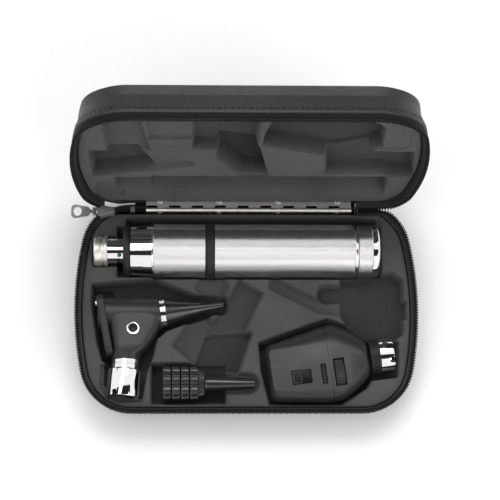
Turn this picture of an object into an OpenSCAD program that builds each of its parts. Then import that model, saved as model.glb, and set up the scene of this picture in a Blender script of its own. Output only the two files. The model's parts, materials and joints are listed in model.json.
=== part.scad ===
// Zipped carry case for an otoscope set, lid open, with its instruments in fitted trays.
// Origin: centre of the base underside. +X right, +Y to the hinge side, +Z up.

/* [Case] */
// Width of the case over its bulged short sides
case_w = 188; // [187:0.5:198]
// Depth of the case from front to hinge side
case_d = 119; // [118.5:0.5:128]
// Height of each half, base and lid
half_h = 24.5; // [24.5:0.25:27]
// Radius of the four corners in plan
corner_r = 28; // [26:0.5:29]
// Radius of the bulged short sides in plan
side_r = 188; // [170:2:230]
// Inward lean of the walls from rim to outer edge
draft_in = 3.8; // [2.6:0.2:4]
// Radius round the outer edge
edge_r = 6; // [5:0.25:7]
// Thickness of the covered board walls
wall_t = 3.2; // [3:0.05:3.3]
// Thickness of the covered board panels
panel_t = 2.4; // [2:0.1:2.8]

/* [Trays] */
// Step from the split plane down to the flat of a tray
tray_drop = 5; // [4.8:0.1:5.2]
// Clearance between a tray and the wall round it
tray_gap = 0.3; // [0.2:0.05:0.5]
// Clearance of a piece in its pocket
pocket_gap = 0.4; // [0.3:0.05:0.6]
// Gap under a seated piece
seat_gap = 0.3; // [0.2:0.05:0.4]

/* [Hinge] */
// Angle of the open lid
lid_open = 96; // [90:1:98]
// Distance from the rear face to the hinge pin
pin_inset = 5.3; // [5:0.1:5.6]
// Length of the piano hinge
hinge_l = 114.3; // [100:0.9:116]
// Offset of the hinge to the right of the middle
hinge_x = 1.5; // [0.5:0.1:2]
// Number of hinge knuckles
knuckles = 18; // [14:2:20]
// Diameter of a hinge knuckle
knuckle_d = 2.5; // [2.4:0.05:2.6]
// Diameter of the hinge pin
pin_d = 1.1; // [1:0.05:1.2]
// Running clearance between pin and knuckle
pin_gap = 0.08; // [0.05:0.01:0.1]
// Thickness of a hinge leaf
leaf_t = 0.7; // [0.6:0.05:0.8]
// Width of a hinge leaf from the pin
leaf_w = 9; // [8:0.25:10]
// Diameter of a rivet head
rivet_d = 3.2; // [2.8:0.1:3.6]
// Spacing of the rivets
rivet_pitch = 33; // [30:0.5:34]

/* [Zip] */
// Thickness of the zip tape
tape_t = 1.1; // [0.9:0.1:1.3]
// Width of the coil of teeth
teeth_w = 1.7; // [1.5:0.1:1.9]
// Height of the teeth on one half
teeth_h = 1.4; // [1.2:0.1:1.5]
// Length of the slider body
slider_l = 9.6; // [8.6:0.2:10]
// Width of the slider body
slider_w = 6.6; // [6.2:0.1:7]
// Length of the pull tab from its pivot
pull_l = 12.6; // [11.6:0.2:15]
// Width of the pull tab at its free end
pull_w = 8; // [7:0.2:9]
// Thickness of the pull tab
pull_t = 1.1; // [1:0.05:1.3]

/* [Power handle] */
// Outer diameter of the knurled battery tube
tube_d = 30; // [29.8:0.1:31]
// Length of the knurled battery tube
tube_l = 77.6; // [76:0.2:79]
// Length of the knurled front sleeve
sleeve_l = 29; // [27:0.25:31]
// Length of the plain chrome sleeve
plain_l = 12.8; // [11.5:0.1:13]
// Length of the black band between the sleeves
band_l = 4.8; // [4:0.1:5.4]
// Thickness of the black collar
collar_l = 3.7; // [3.4:0.1:4]
// Length of the chrome neck
neck_l = 8.9; // [8.6:0.1:9.4]
// Diameter of the chrome neck
neck_d = 14.4; // [14:0.1:15]
// Length of the bayonet ring
bayonet_l = 7.4; // [7:0.1:7.8]
// Diameter of the bayonet ring
bayonet_d = 17.1; // [16.6:0.1:17.6]
// Length of the knurled band of the end cap
cap_l = 7.9; // [7:0.1:8.4]
// Length of the rounded chrome end
dome_l = 4.1; // [3.6:0.1:4.6]
// Diameter of a C cell
cell_d = 26.2; // [25.6:0.1:26.3]
// Length of a C cell
cell_l = 50; // [48.5:0.1:50]
// Diameter of the green lock button
lock_d = 4; // [3.6:0.1:4.2]
// Travel of the lock button
lock_travel = 1.4; // [1:0.1:1.5]

/* [Otoscope head] */
// Thickness of the otoscope body
oto_t = 18; // [17:0.2:18.4]
// Outer diameter of the head sockets
socket_d = 18.2; // [17.8:0.1:18.4]
// Bore of the head sockets
socket_bore = 12.6; // [12:0.1:13]
// Length of the otoscope socket
oto_socket_l = 15.2; // [14.4:0.2:15.6]
// Diameter of the chrome tip ring
tip_ring_d = 16.4; // [16:0.1:17]
// Length of the fitted speculum
speculum_l = 32; // [30:0.25:33]
// Base radius of the fitted speculum
speculum_r = 7.8; // [7.2:0.1:7.9]
// Width of the lens frame
lens_w = 19; // [18:0.25:20]
// Length of the lens frame
lens_l = 34.6; // [33:0.2:35]
// Thickness of the lens frame
lens_t = 4.2; // [3.6:0.1:4.2]
// Diameter of the air port ring
port_d = 7.6; // [7:0.1:8.2]

/* [Spare specula] */
// Diameter of a speculum flange
flange_d = 19.2; // [18.4:0.1:19.6]
// Step from one nested speculum to the next
nest_step = 4.9; // [4.8:0.05:5.2]
// Length of the slender cone of a spare speculum
cone_l = 26; // [24:0.25:27]

/* [Ophthalmoscope head] */
// Thickness of the ophthalmoscope body
scope_t = 22; // [21:0.1:22]
// Radius of the lens wheel
wheel_r = 10.6; // [10:0.1:10.8]
// Width of the lens wheel
wheel_w = 5.4; // [5:0.1:5.8]
// Radius of the aperture dial
dial_r = 10; // [9.4:0.1:10.2]
// Width of the aperture dial
dial_w = 2.2; // [1.8:0.1:2.6]

/* [Hidden] */
$fn = 48;
eps = 0.01;

// Plan outline: side arcs of side_r and corner arcs of corner_r, tangent to each other.
corner_y = case_d / 2 - corner_r;
side_x = case_w / 2 - side_r;
corner_x = side_x + sqrt((side_r - corner_r) ^ 2 - corner_y ^ 2);
side_a = atan2(corner_y, corner_x - side_x);
side_steps = 3;
corner_steps = 11;
left_x = -case_w / 2;
right_x = case_w / 2;
front_y = -case_d / 2;

function arc_point(cx, cy, r, a) = [cx + r * cos(a), cy + r * sin(a)];

// One quarter of the outline drawn in by i, from the side to the rear.
function quarter(i) = concat(
    [for (k = [0 : side_steps - 1]) arc_point(side_x, 0, side_r - i, side_a * k / side_steps)],
    [for (k = [0 : corner_steps])
        arc_point(corner_x, corner_y, corner_r - i, side_a + (90 - side_a) * k / corner_steps)]);

function outline(i) = let (q = quarter(i), n = len(q)) concat(
    q,
    [for (k = [n - 1 : -1 : 0]) [-q[k].x, q[k].y]],
    [for (k = [1 : n - 1]) [-q[k].x, -q[k].y]],
    [for (k = [n - 1 : -1 : 1]) [q[k].x, -q[k].y]]);

// Heights
tray_z = half_h - tray_drop;
tray_in = wall_t + tray_gap;

// Hinge
hinge_y = case_d / 2 - pin_inset;
knuckle_r = knuckle_d / 2;
knuckle_l = hinge_l / knuckles;
knuckle_gap = 0.2;
hinge_x0 = hinge_x - hinge_l / 2;
hinge_x1 = hinge_x + hinge_l / 2;
pin_bore_r = pin_d / 2 + pin_gap;
leaf_y0 = knuckle_r - leaf_t;
leaf_slot = knuckle_r + 0.45;
rivet_z = half_h - 5.6;
rivet_head_t = 0.8;
rivet_r = 0.9;
rivet_fit = 0.05;
rivet_depth = 2;
fold_gap = 0.7;
fold_t = 0.45;
fold_clear = 0.1;
spine_l = 2 * corner_x - 2;
leaf_clear = 0.08;

// Zip
chain_y = hinge_y - 1;
bead_gap = 0.06;
bead_r = 0.8;
slider_x = left_x + 16.2;
slider_y = hinge_y - 1;
slider_t = 4.6;
slider_gap = 0.4;
pivot_x = slider_x - slider_l / 2 - 1.9;
pull_eye_r = 1.3;
plate_t = 1.25;
post_w = 4.2;
post_l = 3.2;
bail_r = 0.55;
pull_root_w = 4.2;
stop_l = 2;
stop_w = 2;
stop_low = 4;
stop_top = 1.3;
stop_cap = 0.5;

// Power handle: the stations run from its bayonet end to its chrome end.
handle_y = hinge_y - 22.6;
handle_z = half_h - 4.5;
bead_l = 1.8;
handle_l = bayonet_l + neck_l + collar_l + plain_l + sleeve_l + band_l + tube_l + bead_l
    + cap_l + dome_l;
handle_x0 = left_x + 9.7;
neck_x = handle_x0 + bayonet_l;
collar_x = neck_x + neck_l;
plain_x = collar_x + collar_l;
sleeve_x = plain_x + plain_l;
band_x = sleeve_x + sleeve_l;
tube_x = band_x + band_l;
bead_x = tube_x + tube_l;
cap_x = bead_x + bead_l;
dome_x = cap_x + cap_l;
handle_x1 = dome_x + dome_l;
band_d = tube_d + 1.2;
collar_d = tube_d - 1.3;
plain_d0 = tube_d - 2.5;
plain_d1 = tube_d - 1.4;
core_bore = 9;
core_wall = 1.6;
liner_bore = cell_d + 0.4;
liner_d = liner_bore + 0.9;
turn_gap = 0.15;
core_d = 12;
trough_run = 3;
trough_rear = 19.4;
bulkhead_x = sleeve_x + 1.6;
bulkhead_l = 3;
cell_x = bulkhead_x + bulkhead_l + 0.3;
cell_step = cell_l + 0.3;
nub_l = 1.5;
nub_r = 3.2;
insulator_d = core_bore - 0.3;
pin_contact_d = 3;
lock_x = collar_x - lock_d / 2 - 0.2;
lock_a = 33;
lock_top = neck_d / 2 + 2.1;
lock_bottom = neck_d / 2 - 1.1;

// Otoscope head, placed from the left front corner of the case
oto_x = left_x + 28;
oto_y = front_y + 41.5;
oto_z = half_h - 6;
oto_tilt = 3.8;
view_tilt = 8;
barrel_y = 14.3;
neck_up = 12;
oto_collar_d = 15.4;
oto_collar_l = 5.6;
lamp_d = 4.6;
lamp_l = 12;
ring_x = 19.9;
ring_y = 14.7;
ring_l = 3;
lens_top = 23.6;
lens_x = -17;
lens_tilt = 10.4;
lens_glass_d = 13.4;
lens_glass_in = 14.6;
lens_pivot_in = 3.4;
lens_pivot_r = 0.8;
port_x = 3.9;
port_y = 4;
port_h = 1.5;
port_hole_r = 2.2;
tip_r = 1.75;
tip_wall = 0.7;

// Spare specula, nested along +X
nest_x = left_x + 72.4;
nest_y = front_y + 16.6;
nest_z = half_h - 6;
flange_l = 4.5;
flange_r = flange_d / 2;

// Ophthalmoscope head, placed from the right front corner
scope_x = right_x - 27.2;
scope_y = front_y + 30.9;
scope_z = half_h - 5;
scope_tilt = 7.5;
split_x = -22.8;
split_gap = 0.15;
scope_neck_l = 4.8;
scope_neck_d = 19;
scope_socket_l = 7.9;
axle_y = -7.8;
wheel_x = -17.9;
wheel_proud = 1.2;
wheel_slot_l = 15;
dial_x = -26.5;
dial_slot_l = 10.9;
axle_z = scope_t / 2 + wheel_proud - wheel_r;
axle_r = 1.2;
window_x = -38.8;
window_y = -8;
window_l = 10.8;
window_w = 7.6;
window_in = 1.6;
wall_skin = 0.5;

// Case halves

module half_place() {
    translate([0, hinge_y, half_h])
        rotate([-lid_open, 0, 0])
            translate([0, -hinge_y, half_h])
                mirror([0, 0, 1])
                    children();
}

// Drafted box with a rounded lower edge: i is its inset at the rim.
module drafted(i, z_low, z_top, r) {
    hull() {
        translate([0, 0, z_top - eps])
            linear_extrude(eps) polygon(outline(i));
        for (a = [0, 30, 60, 90])
            translate([0, 0, z_low + r * (1 - cos(a))])
                linear_extrude(eps) polygon(outline(i + draft_in + r * (1 - sin(a))));
    }
}

// Everything behind the pin and above the face where the open lid stops.
module stop_cut(gap) {
    translate([0, hinge_y, half_h])
        rotate([-lid_open / 2, 0, 0])
            translate([-case_w, -case_d, -gap])
                cube([2 * case_w, 2 * case_d, case_w]);
}

module rivet_holes(r) {
    for (k = [-1.5 : 1 : 1.5])
        translate([hinge_x + k * rivet_pitch, hinge_y, rivet_z])
            rotate([-90, 0, 0]) cylinder(r = r, h = knuckle_r + leaf_clear + rivet_depth);
}

module half_shell() {
    difference() {
        drafted(0, 0, tray_z, edge_r);
        intersection() {
            drafted(wall_t, panel_t, tray_z + 1, edge_r - panel_t);
            translate([-case_w, -case_d, 0])
                cube([2 * case_w, case_d + hinge_y + knuckle_r + leaf_clear, 2 * half_h]);
        }
        translate([hinge_x0 - 1, 0, half_h - leaf_w - 0.4])
            cube([hinge_l + 2, hinge_y + knuckle_r + leaf_clear, half_h]);
        stop_cut(fold_gap);
        rivet_holes(rivet_r + rivet_fit);
    }
}

module tray_block() {
    intersection() {
        drafted(tray_in, panel_t + eps, tray_z, edge_r - panel_t);
        translate([-case_w, -case_d, 0])
            cube([2 * case_w, case_d + hinge_y - rivet_head_t, 2 * half_h]);
    }
}

// A pocket of the given plan shape, cut down to the height z.
module pocket(z) {
    translate([0, 0, z])
        linear_extrude(2 * half_h) children();
}

// Strip along the rim, from inset i0 to inset i1, with a straight run along the hinge line.
module rim_strip(i0, i1, rear_y) {
    difference() {
        intersection() {
            polygon(outline(i0));
            translate([-case_w, -case_d]) square([2 * case_w, case_d + rear_y - i0]);
        }
        intersection() {
            polygon(outline(i1));
            translate([-case_w, -case_d]) square([2 * case_w, case_d + rear_y - i1]);
        }
        translate([hinge_x0 - 1, front_y + case_d / 2]) square([hinge_l + 3, case_d]);
    }
}

module slider_clearance() {
    translate([slider_x - slider_l / 2 - slider_gap - 1.2, slider_y - slider_w / 2 - slider_gap,
            half_h - slider_t / 2 - slider_gap])
        cube([slider_l + 2 * slider_gap + 1.2, slider_w + 2 * slider_gap, slider_t]);
}

// Room for what lies on the hinge line as the lid turns about it.
module turn_clearance(x, l, r) {
    translate([x, hinge_y, half_h]) rotate([0, 90, 0]) cylinder(r = r, h = l);
}

module half_tape() {
    difference() {
        translate([0, 0, tray_z + eps])
            linear_extrude(tray_drop - teeth_h - bead_gap - eps)
                rim_strip(0.02, tape_t, hinge_y + tape_t / 2);
        slider_clearance();
        turn_clearance(slider_x - slider_l / 2 - slider_gap, slider_l + 2 * slider_gap, 3.6);
        turn_clearance(slider_x, hinge_x0 - slider_x, 2.1);
        translate([hinge_x1, hinge_y - 2, half_h - teeth_h - stop_cap - 0.05])
            cube([stop_l + 2.6, 4, half_h]);
        stop_cut(fold_gap);
    }
}

module half_teeth() {
    difference() {
        translate([0, 0, half_h - teeth_h - bead_gap])
            linear_extrude(teeth_h)
                rim_strip(0.1, teeth_w, chain_y);
        translate([slider_x, hinge_y - 5, 0]) cube([case_w / 2, 10, case_w]);
        slider_clearance();
        turn_clearance(slider_x - slider_l / 2 - slider_gap, slider_l, slider_w / 2 + 2);
    }
}

module half_leaf(first) {
    difference() {
        union() {
            translate([hinge_x0, hinge_y + leaf_y0, half_h - leaf_w])
                cube([hinge_l, leaf_t, leaf_w - leaf_slot]);
            for (k = [first : 2 : knuckles - 1]) {
                x = hinge_x0 + k * knuckle_l + knuckle_gap / 2;
                translate([x, hinge_y + leaf_y0, half_h - leaf_slot - eps])
                    cube([knuckle_l - knuckle_gap, leaf_t, leaf_slot + eps]);
                translate([x, hinge_y, half_h])
                    rotate([0, 90, 0]) cylinder(r = knuckle_r, h = knuckle_l - knuckle_gap);
            }
        }
        translate([hinge_x0 - 1, hinge_y, half_h])
            rotate([0, 90, 0]) cylinder(r = pin_bore_r, h = hinge_l + 2);
        rivet_holes(rivet_r + rivet_fit);
    }
}

module half_rivets() {
    for (k = [-1.5 : 1 : 1.5])
        translate([hinge_x + k * rivet_pitch, hinge_y + leaf_y0, rivet_z])
            rotate([-90, 0, 0]) {
                translate([0, 0, -rivet_head_t])
                    cylinder(r1 = rivet_d / 2 - 0.5, r2 = rivet_d / 2, h = rivet_head_t);
                cylinder(r = rivet_r, h = leaf_t + rivet_depth);
            }
}

module half_stop() {
    translate([hinge_x1 + 2, hinge_y, half_h])
        difference() {
            translate([0, -stop_w / 2, -stop_low]) cube([stop_l, stop_w, stop_low - stop_top]);
            translate([-1, -tape_t / 2 - 0.05, -stop_low - 1])
                cube([stop_l + 2, tape_t + 0.1, stop_low - teeth_h - stop_cap + 1]);
        }
}

// Base

module base_shell() {
    color([0.16, 0.16, 0.15]) half_shell();
}

module base_tray() {
    color([0.24, 0.25, 0.25])
        difference() {
            tray_block();
            handle_pocket(handle_z);
            oto_pocket();
            nest_pocket();
            scope_pocket(scope_z - scope_t / 2 - seat_gap);
            pocket(tray_z - angle_depth) angle_plan();
            pocket(tray_z - block_depth) block_plan();
            pocket(tray_z - nose_depth) nose_plan();
            pocket(tray_z - dip_depth) dip_plan();
            pocket(tray_z - slot_depth) slot_plan();
            pocket(tray_z - bottle_depth) bottle_plan();
        }
}

module base_zip_tape() {
    color([0.07, 0.07, 0.07]) half_tape();
}

module base_zip_teeth() {
    color([0.1, 0.09, 0.09]) half_teeth();
}

module base_hinge_leaf() {
    color([0.85, 0.85, 0.82]) half_leaf(0);
}

module base_rivets() {
    color([0.8, 0.8, 0.78]) half_rivets();
}

module hinge_pin() {
    color([0.7, 0.7, 0.7])
        translate([hinge_x0, hinge_y, half_h])
            rotate([0, 90, 0]) cylinder(d = pin_d, h = hinge_l);
}

// Vinyl strip behind the hinge, folded between the two stop faces while the lid is open.
module spine_cover() {
    color([0.1, 0.1, 0.1])
        translate([0, hinge_y, half_h])
            rotate([-lid_open / 2, 0, 0])
                for (s = [-1, 1])
                    translate([-spine_l / 2, pin_inset + 0.1,
                            s * (fold_clear + fold_t / 2) - fold_t / 2])
                        cube([spine_l, pin_inset / cos(lid_open / 2) - pin_inset - 0.3, fold_t]);
}

module zip_stub() {
    color([0.13, 0.1, 0.1])
        translate([slider_x + slider_l / 2 - 2, hinge_y, half_h])
            rotate([0, 90, 0])
                cylinder(r = bead_r, h = hinge_x0 - slider_x - slider_l / 2 + 1.6);
}

module zip_end_clip() {
    color([0.3, 0.28, 0.27])
        difference() {
            translate([hinge_x0 - 8.6, hinge_y - 1.35, half_h - 1.2]) cube([2.4, 2.7, 2.4]);
            translate([hinge_x0 - 9, hinge_y, half_h])
                rotate([0, 90, 0]) cylinder(r = bead_r + 0.05, h = 4);
        }
}

module base_zip_stop() {
    color([0.6, 0.6, 0.58]) half_stop();
}

// Two plates joined by the post that parts the chains, with ears for the pull.
module zip_slider() {
    color([0.45, 0.45, 0.44])
        union() {
            for (s = [0, 1])
                mirror([0, 0, s])
                    translate([0, 0, s * -2 * half_h])
                        translate([slider_x - slider_l / 2, slider_y - slider_w / 2,
                                half_h + slider_t / 2 - plate_t])
                            cube([slider_l, slider_w, plate_t]);
            translate([slider_x - slider_l / 2, slider_y - post_w / 2, half_h - slider_t / 2 + eps])
                cube([post_l, post_w, slider_t - 2 * eps]);
            for (s = [-1, 1])
                translate([pivot_x - bail_r - 0.3, slider_y + s * (post_w / 2 - 0.4) - 0.4,
                        half_h - 1.2])
                    cube([slider_x - slider_l / 2 - pivot_x + bail_r + 0.6, 0.8, 2.4]);
            translate([pivot_x, slider_y + post_w / 2 - 0.4, half_h])
                rotate([90, 0, 0]) cylinder(r = bail_r, h = post_w - 0.8);
        }
}

module zip_pull() {
    color([0.5, 0.5, 0.49])
        difference() {
            translate([pivot_x, slider_y, half_h]) {
                linear_extrude(pull_t, center = true)
                    polygon([[0, -0.9], [0, 0.9], [-2.6, 0.9], [-3.4, pull_root_w / 2],
                        [-pull_l + 1.5, pull_w / 2], [-pull_l, pull_w / 2 - 1.5],
                        [-pull_l, 1.5 - pull_w / 2], [-pull_l + 1.5, -pull_w / 2],
                        [-3.4, -pull_root_w / 2], [-2.6, -0.9]]);
                rotate([90, 0, 0]) cylinder(r = pull_eye_r, h = 1.8, center = true);
            }
            translate([pivot_x, slider_y, half_h])
                rotate([90, 0, 0]) cylinder(r = bail_r + 0.1, h = 4, center = true);
            translate([pivot_x - pull_l + 3.1, slider_y, half_h])
                for (s = [-1, 1])
                    translate([0, s * 1.4, 0]) cylinder(r = 1.5, h = 2, center = true);
            translate([pivot_x - pull_l + 1.6, slider_y - 1.4, half_h - 1]) cube([3, 2.8, 2]);
        }
}

// Lid

module lid_shell() {
    color([0.17, 0.17, 0.16]) half_place() half_shell();
}

module lid_tray() {
    color([0.26, 0.27, 0.27])
        half_place()
            difference() {
                tray_block();
                handle_pocket(2 * half_h - handle_z);
                pocket(tray_z - 2) lid_block_plan();
                pocket(tray_z - 9) lid_barrel_plan();
                pocket(tray_z - 4) lid_neck_plan();
                pocket(tray_z - 3) lid_cone_plan();
                pocket(tray_z - 2) lid_nest_plan();
                pocket(tray_z - 7) lid_frame_plan();
                pocket(tray_z - 11) lid_angle_plan();
                scope_pocket(2 * half_h - scope_z - scope_t / 2 - 1.6);
                pocket(tray_z - 8) lid_bottle_plan();
            }
}

module lid_zip_tape() {
    color([0.07, 0.07, 0.07]) half_place() half_tape();
}

module lid_zip_teeth() {
    color([0.1, 0.09, 0.09]) half_place() half_teeth();
}

module lid_hinge_leaf() {
    color([0.85, 0.85, 0.82]) half_place() half_leaf(1);
}

module lid_rivets() {
    color([0.8, 0.8, 0.78]) half_place() half_rivets();
}

module lid_zip_stop() {
    color([0.6, 0.6, 0.58]) half_place() half_stop();
}

// Pockets of the empty places, in plan

angle_depth = 6;
block_depth = 9;
nose_depth = 5;
dip_depth = 3.5;
slot_depth = 4.6;
bottle_depth = 9;

module from_left() {
    translate([left_x, front_y]) children();
}

module from_right() {
    translate([right_x, front_y]) children();
}

module angle_plan() {
    from_left() polygon([[90.3, 74], [102, 66.9], [88.7, 38.7], [71.9, 46.2], [81.3, 57.6]]);
}

module block_plan() {
    from_left() polygon([[71.9, 43], [95.5, 44], [88.7, 24], [66.5, 27.5]]);
}

module nose_plan() {
    from_left() polygon([[54.8, 37.9], [65, 53.7], [73.1, 53.7], [72.5, 43], [64.6, 29]]);
}

module dip_plan() {
    from_left() translate([75, 71]) scale([1, 0.6]) circle(r = 8.5);
}

module slot_plan() {
    from_right() {
        hull() {
            translate([-78.2, 72.3]) circle(r = 3.2, $fn = 32);
            translate([-53, 59.4]) circle(r = 3.6, $fn = 32);
        }
        hull() {
            translate([-53, 59.4]) circle(r = 3.6, $fn = 32);
            translate([-40, 58.2]) circle(r = 3.8, $fn = 32);
        }
    }
}

module bottle_plan() {
    from_right() {
        polygon([[-40.9, 75.2], [-13.2, 78.4], [-8.1, 74.5], [-8.6, 44.8], [-12.8, 42.1],
            [-34.2, 44], [-40.6, 53.8]]);
        hull() {
            translate([-50, 67.2]) circle(r = 3.8, $fn = 32);
            translate([-40, 67.2]) circle(r = 3.8, $fn = 32);
        }
        translate([-9, 53.3]) square([3, 9]);
    }
}

module lid_block_plan() {
    from_left() translate([12.2, 88]) square([13.8, 17.5]);
}

module lid_barrel_plan() {
    from_left() polygon([[11.5, 48], [35, 48], [43, 69], [12, 77.5]]);
}

module lid_neck_plan() {
    from_left() polygon([[18.5, 8], [36, 8], [41, 49], [21, 49]]);
}

module lid_cone_plan() {
    from_left() polygon([[38, 49], [64, 61], [64, 64.5], [42, 71]]);
}

module lid_nest_plan() {
    from_left() translate([42, 7]) square([24, 24]);
}

module lid_frame_plan() {
    from_left() translate([65.4, 5]) square([31, 37.6]);
}

module lid_angle_plan() {
    from_left() polygon([[78.7, 54], [78.5, 38], [97, 42.5], [102.7, 77], [91.6, 77]]);
}

module lid_bottle_plan() {
    from_right() polygon([[-53.7, 47], [-49.2, 36], [-28, 47.5], [-9, 48], [-6, 77.2],
        [-16.3, 77.2], [-21, 73.2], [-51, 73.3]]);
}

// Power handle

module on_handle(x) {
    translate([x, handle_y, handle_z]) rotate([0, 90, 0]) children();
}

// Seat of the handle: round below, with a straight run to the hinge side.
module handle_pocket(z) {
    g = pocket_gap;
    translate([0, handle_y, z]) {
        translate([sleeve_x - g, 0, 0])
            rotate([0, 90, 0]) cylinder(d = band_d + 2 * seat_gap, h = handle_x1 - sleeve_x + 3 * g);
        translate([collar_x - trough_run, 0, 0])
            rotate([0, 90, 0]) cylinder(d = collar_d + 2 * g, h = sleeve_x - collar_x + trough_run);
        translate([collar_x - trough_run, -collar_d / 2 - g, -2])
            cube([collar_l + trough_run + 3, collar_d + 2 * g, 2 * half_h]);
        translate([plain_x - 1, 0, -2])
            cube([handle_x1 - plain_x + 1 + 2 * g, trough_rear, 2 * half_h]);
        translate([handle_x0 - g, 0, 0])
            rotate([0, 90, 0]) cylinder(d = bayonet_d + 2 * g, h = handle_l / 4);
        translate([handle_x0 - g, -9.2, 0])
            cube([handle_l / 8, 18.4, 2 * half_h]);
    }
}

module battery_tube() {
    color([0.78, 0.78, 0.78])
        difference() {
            union() {
                on_handle(tube_x) cylinder(d = tube_d, h = tube_l);
                on_handle(bulkhead_x) cylinder(d = liner_d, h = tube_x - bulkhead_x + 1);
            }
            on_handle(bulkhead_x + bulkhead_l)
                cylinder(d = liner_bore, h = tube_x + tube_l - bulkhead_x);
            on_handle(bulkhead_x - 1) cylinder(d = core_d - 2, h = bulkhead_l + 2);
        }
}

module tube_bead() {
    color([0.9, 0.9, 0.9])
        on_handle(bead_x)
            difference() {
                cylinder(d = tube_d - 0.8, h = bead_l);
                translate([0, 0, -1]) cylinder(d = liner_bore, h = bead_l + 2);
            }
}

module black_band() {
    color([0.08, 0.08, 0.08])
        on_handle(band_x)
            difference() {
                union() {
                    cylinder(d = tube_d - 0.6, h = band_l);
                    translate([0, 0, 0.5]) cylinder(d = band_d, h = band_l - 1);
                }
                translate([0, 0, -1]) cylinder(d = liner_d + 0.02, h = band_l + 2);
            }
}

module handle_core() {
    color([0.85, 0.85, 0.85])
        difference() {
            union() {
                on_handle(neck_x) cylinder(d = neck_d, h = neck_l);
                on_handle(collar_x) cylinder(d = core_d, h = bulkhead_x - collar_x);
            }
            on_handle(neck_x - 1) cylinder(d = core_bore, h = bulkhead_x - neck_x + 2);
            lock_axis() cylinder(d = lock_d + 0.3, h = neck_d);
        }
}

module handle_collar() {
    color([0.06, 0.06, 0.06])
        on_handle(collar_x)
            difference() {
                union() {
                    cylinder(d1 = collar_d - 3, d2 = collar_d, h = 1.5);
                    translate([0, 0, 1.5]) cylinder(d = collar_d, h = collar_l - 1.5 - turn_gap);
                }
                translate([0, 0, -1]) cylinder(d = core_d + 0.02, h = collar_l + 2);
            }
}

module bayonet_ring() {
    color([0.72, 0.7, 0.66])
        on_handle(handle_x0)
            difference() {
                union() {
                    cylinder(d = bayonet_d - 1, h = bayonet_l);
                    translate([0, 0, 0.4]) cylinder(d = bayonet_d, h = 3.4);
                    translate([0, 0, bayonet_l - 1.6]) cylinder(d = bayonet_d, h = 1.6);
                }
                translate([0, 0, -1]) cylinder(d = core_bore, h = bayonet_l + 2);
                translate([0, 0, -1]) cylinder(d = bayonet_d - 4, h = bayonet_l - 2);
                for (a = [30 : 120 : 270])
                    rotate([0, 0, a]) translate([bayonet_d / 2 - 2.2, -1.2, -1]) cube([4, 2.4, 3.4]);
            }
}

module contact_insulator() {
    color([0.85, 0.83, 0.78])
        on_handle(neck_x - 1)
            difference() {
                cylinder(d = insulator_d, h = bulkhead_x + 2 - neck_x);
                translate([0, 0, -1])
                    cylinder(d = pin_contact_d + 0.1, h = bulkhead_x + 5 - neck_x);
            }
}

module contact_pin() {
    color([0.8, 0.65, 0.3])
        on_handle(neck_x - 4) cylinder(d = pin_contact_d, h = cell_x - neck_x + 3.8);
}

// Two C cells, nose to tail
module batteries() {
    color([0.2, 0.3, 0.45])
        for (k = [0, 1])
            on_handle(cell_x + k * cell_step) {
                cylinder(r = nub_r, h = nub_l + eps);
                translate([0, 0, nub_l]) cylinder(d = cell_d, h = cell_l - nub_l);
            }
}

module front_sleeve() {
    color([0.76, 0.76, 0.76])
        on_handle(sleeve_x)
            difference() {
                cylinder(d = tube_d, h = sleeve_l - turn_gap);
                translate([0, 0, -1]) cylinder(d = liner_d + 2 * turn_gap, h = sleeve_l + 2);
            }
}

module plain_sleeve() {
    color([0.9, 0.9, 0.9])
        on_handle(plain_x)
            difference() {
                cylinder(d1 = plain_d0, d2 = plain_d1, h = plain_l);
                translate([0, 0, -1]) cylinder(d = core_d + 2 * turn_gap, h = 3);
                translate([0, 0, 1.6]) cylinder(d = plain_d0 - 3, h = plain_l);
            }
}

module lock_axis() {
    translate([lock_x, handle_y, handle_z]) rotate([lock_a, 0, 0]) children();
}

module lock_button() {
    color([0.12, 0.42, 0.2])
        lock_axis()
            translate([0, 0, lock_bottom]) {
                cylinder(d = lock_d, h = lock_top - lock_bottom - 0.5);
                translate([0, 0, lock_top - lock_bottom - 0.5])
                    cylinder(d1 = lock_d, d2 = lock_d - 1.2, h = 0.5);
            }
}

module end_cap() {
    color([0.8, 0.8, 0.78])
        difference() {
            union() {
                on_handle(cap_x + turn_gap) cylinder(d = tube_d - 0.1, h = cap_l - turn_gap);
                on_handle(cap_x - 4.5) cylinder(d = liner_bore - 2 * turn_gap, h = 5);
            }
            on_handle(cap_x - 5) cylinder(d = 17, h = cap_l + 2);
        }
}

module cap_dome() {
    color([0.9, 0.9, 0.9])
        on_handle(dome_x) {
            cylinder(d = tube_d - 1, h = dome_l - 1.6);
            translate([0, 0, dome_l - 1.6])
                cylinder(d1 = tube_d - 1, d2 = tube_d - 3.6, h = 1.6);
        }
}

module cap_spring() {
    color([0.7, 0.7, 0.65])
        on_handle(cell_x + 2 * cell_step)
            difference() {
                cylinder(d = 14, h = cap_x + cap_l - 3.2 - cell_x - 2 * cell_step);
                translate([0, 0, -1]) cylinder(d = 11.4, h = 30);
            }
}

// Otoscope head

module on_oto() {
    translate([oto_x, oto_y, oto_z]) children();
}

// Frame along the socket, leaning to the left
module on_socket(down) {
    on_oto()
        translate([0.5, 0, 0])
            rotate([0, 0, -oto_tilt])
                translate([0, -neck_up - down, 0])
                rotate([90, 0, 0]) children();
}

// Frame along the line of sight, at the tip ring
module on_view(along) {
    on_oto()
        translate([ring_x, ring_y, 0])
            rotate([0, 0, view_tilt])
                translate([along, 0, 0])
                    rotate([0, 90, 0]) children();
}

module oto_plan() {
    polygon([[-13, barrel_y], [ring_x - 1.4, barrel_y], [ring_x - 0.7, 7], [16.9, 3.3],
        [15, -0.3], [12.6, -3.7], [6.4, -13.2], [-6.5, -11.2], [-9.5, -9.9]]);
}

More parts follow.
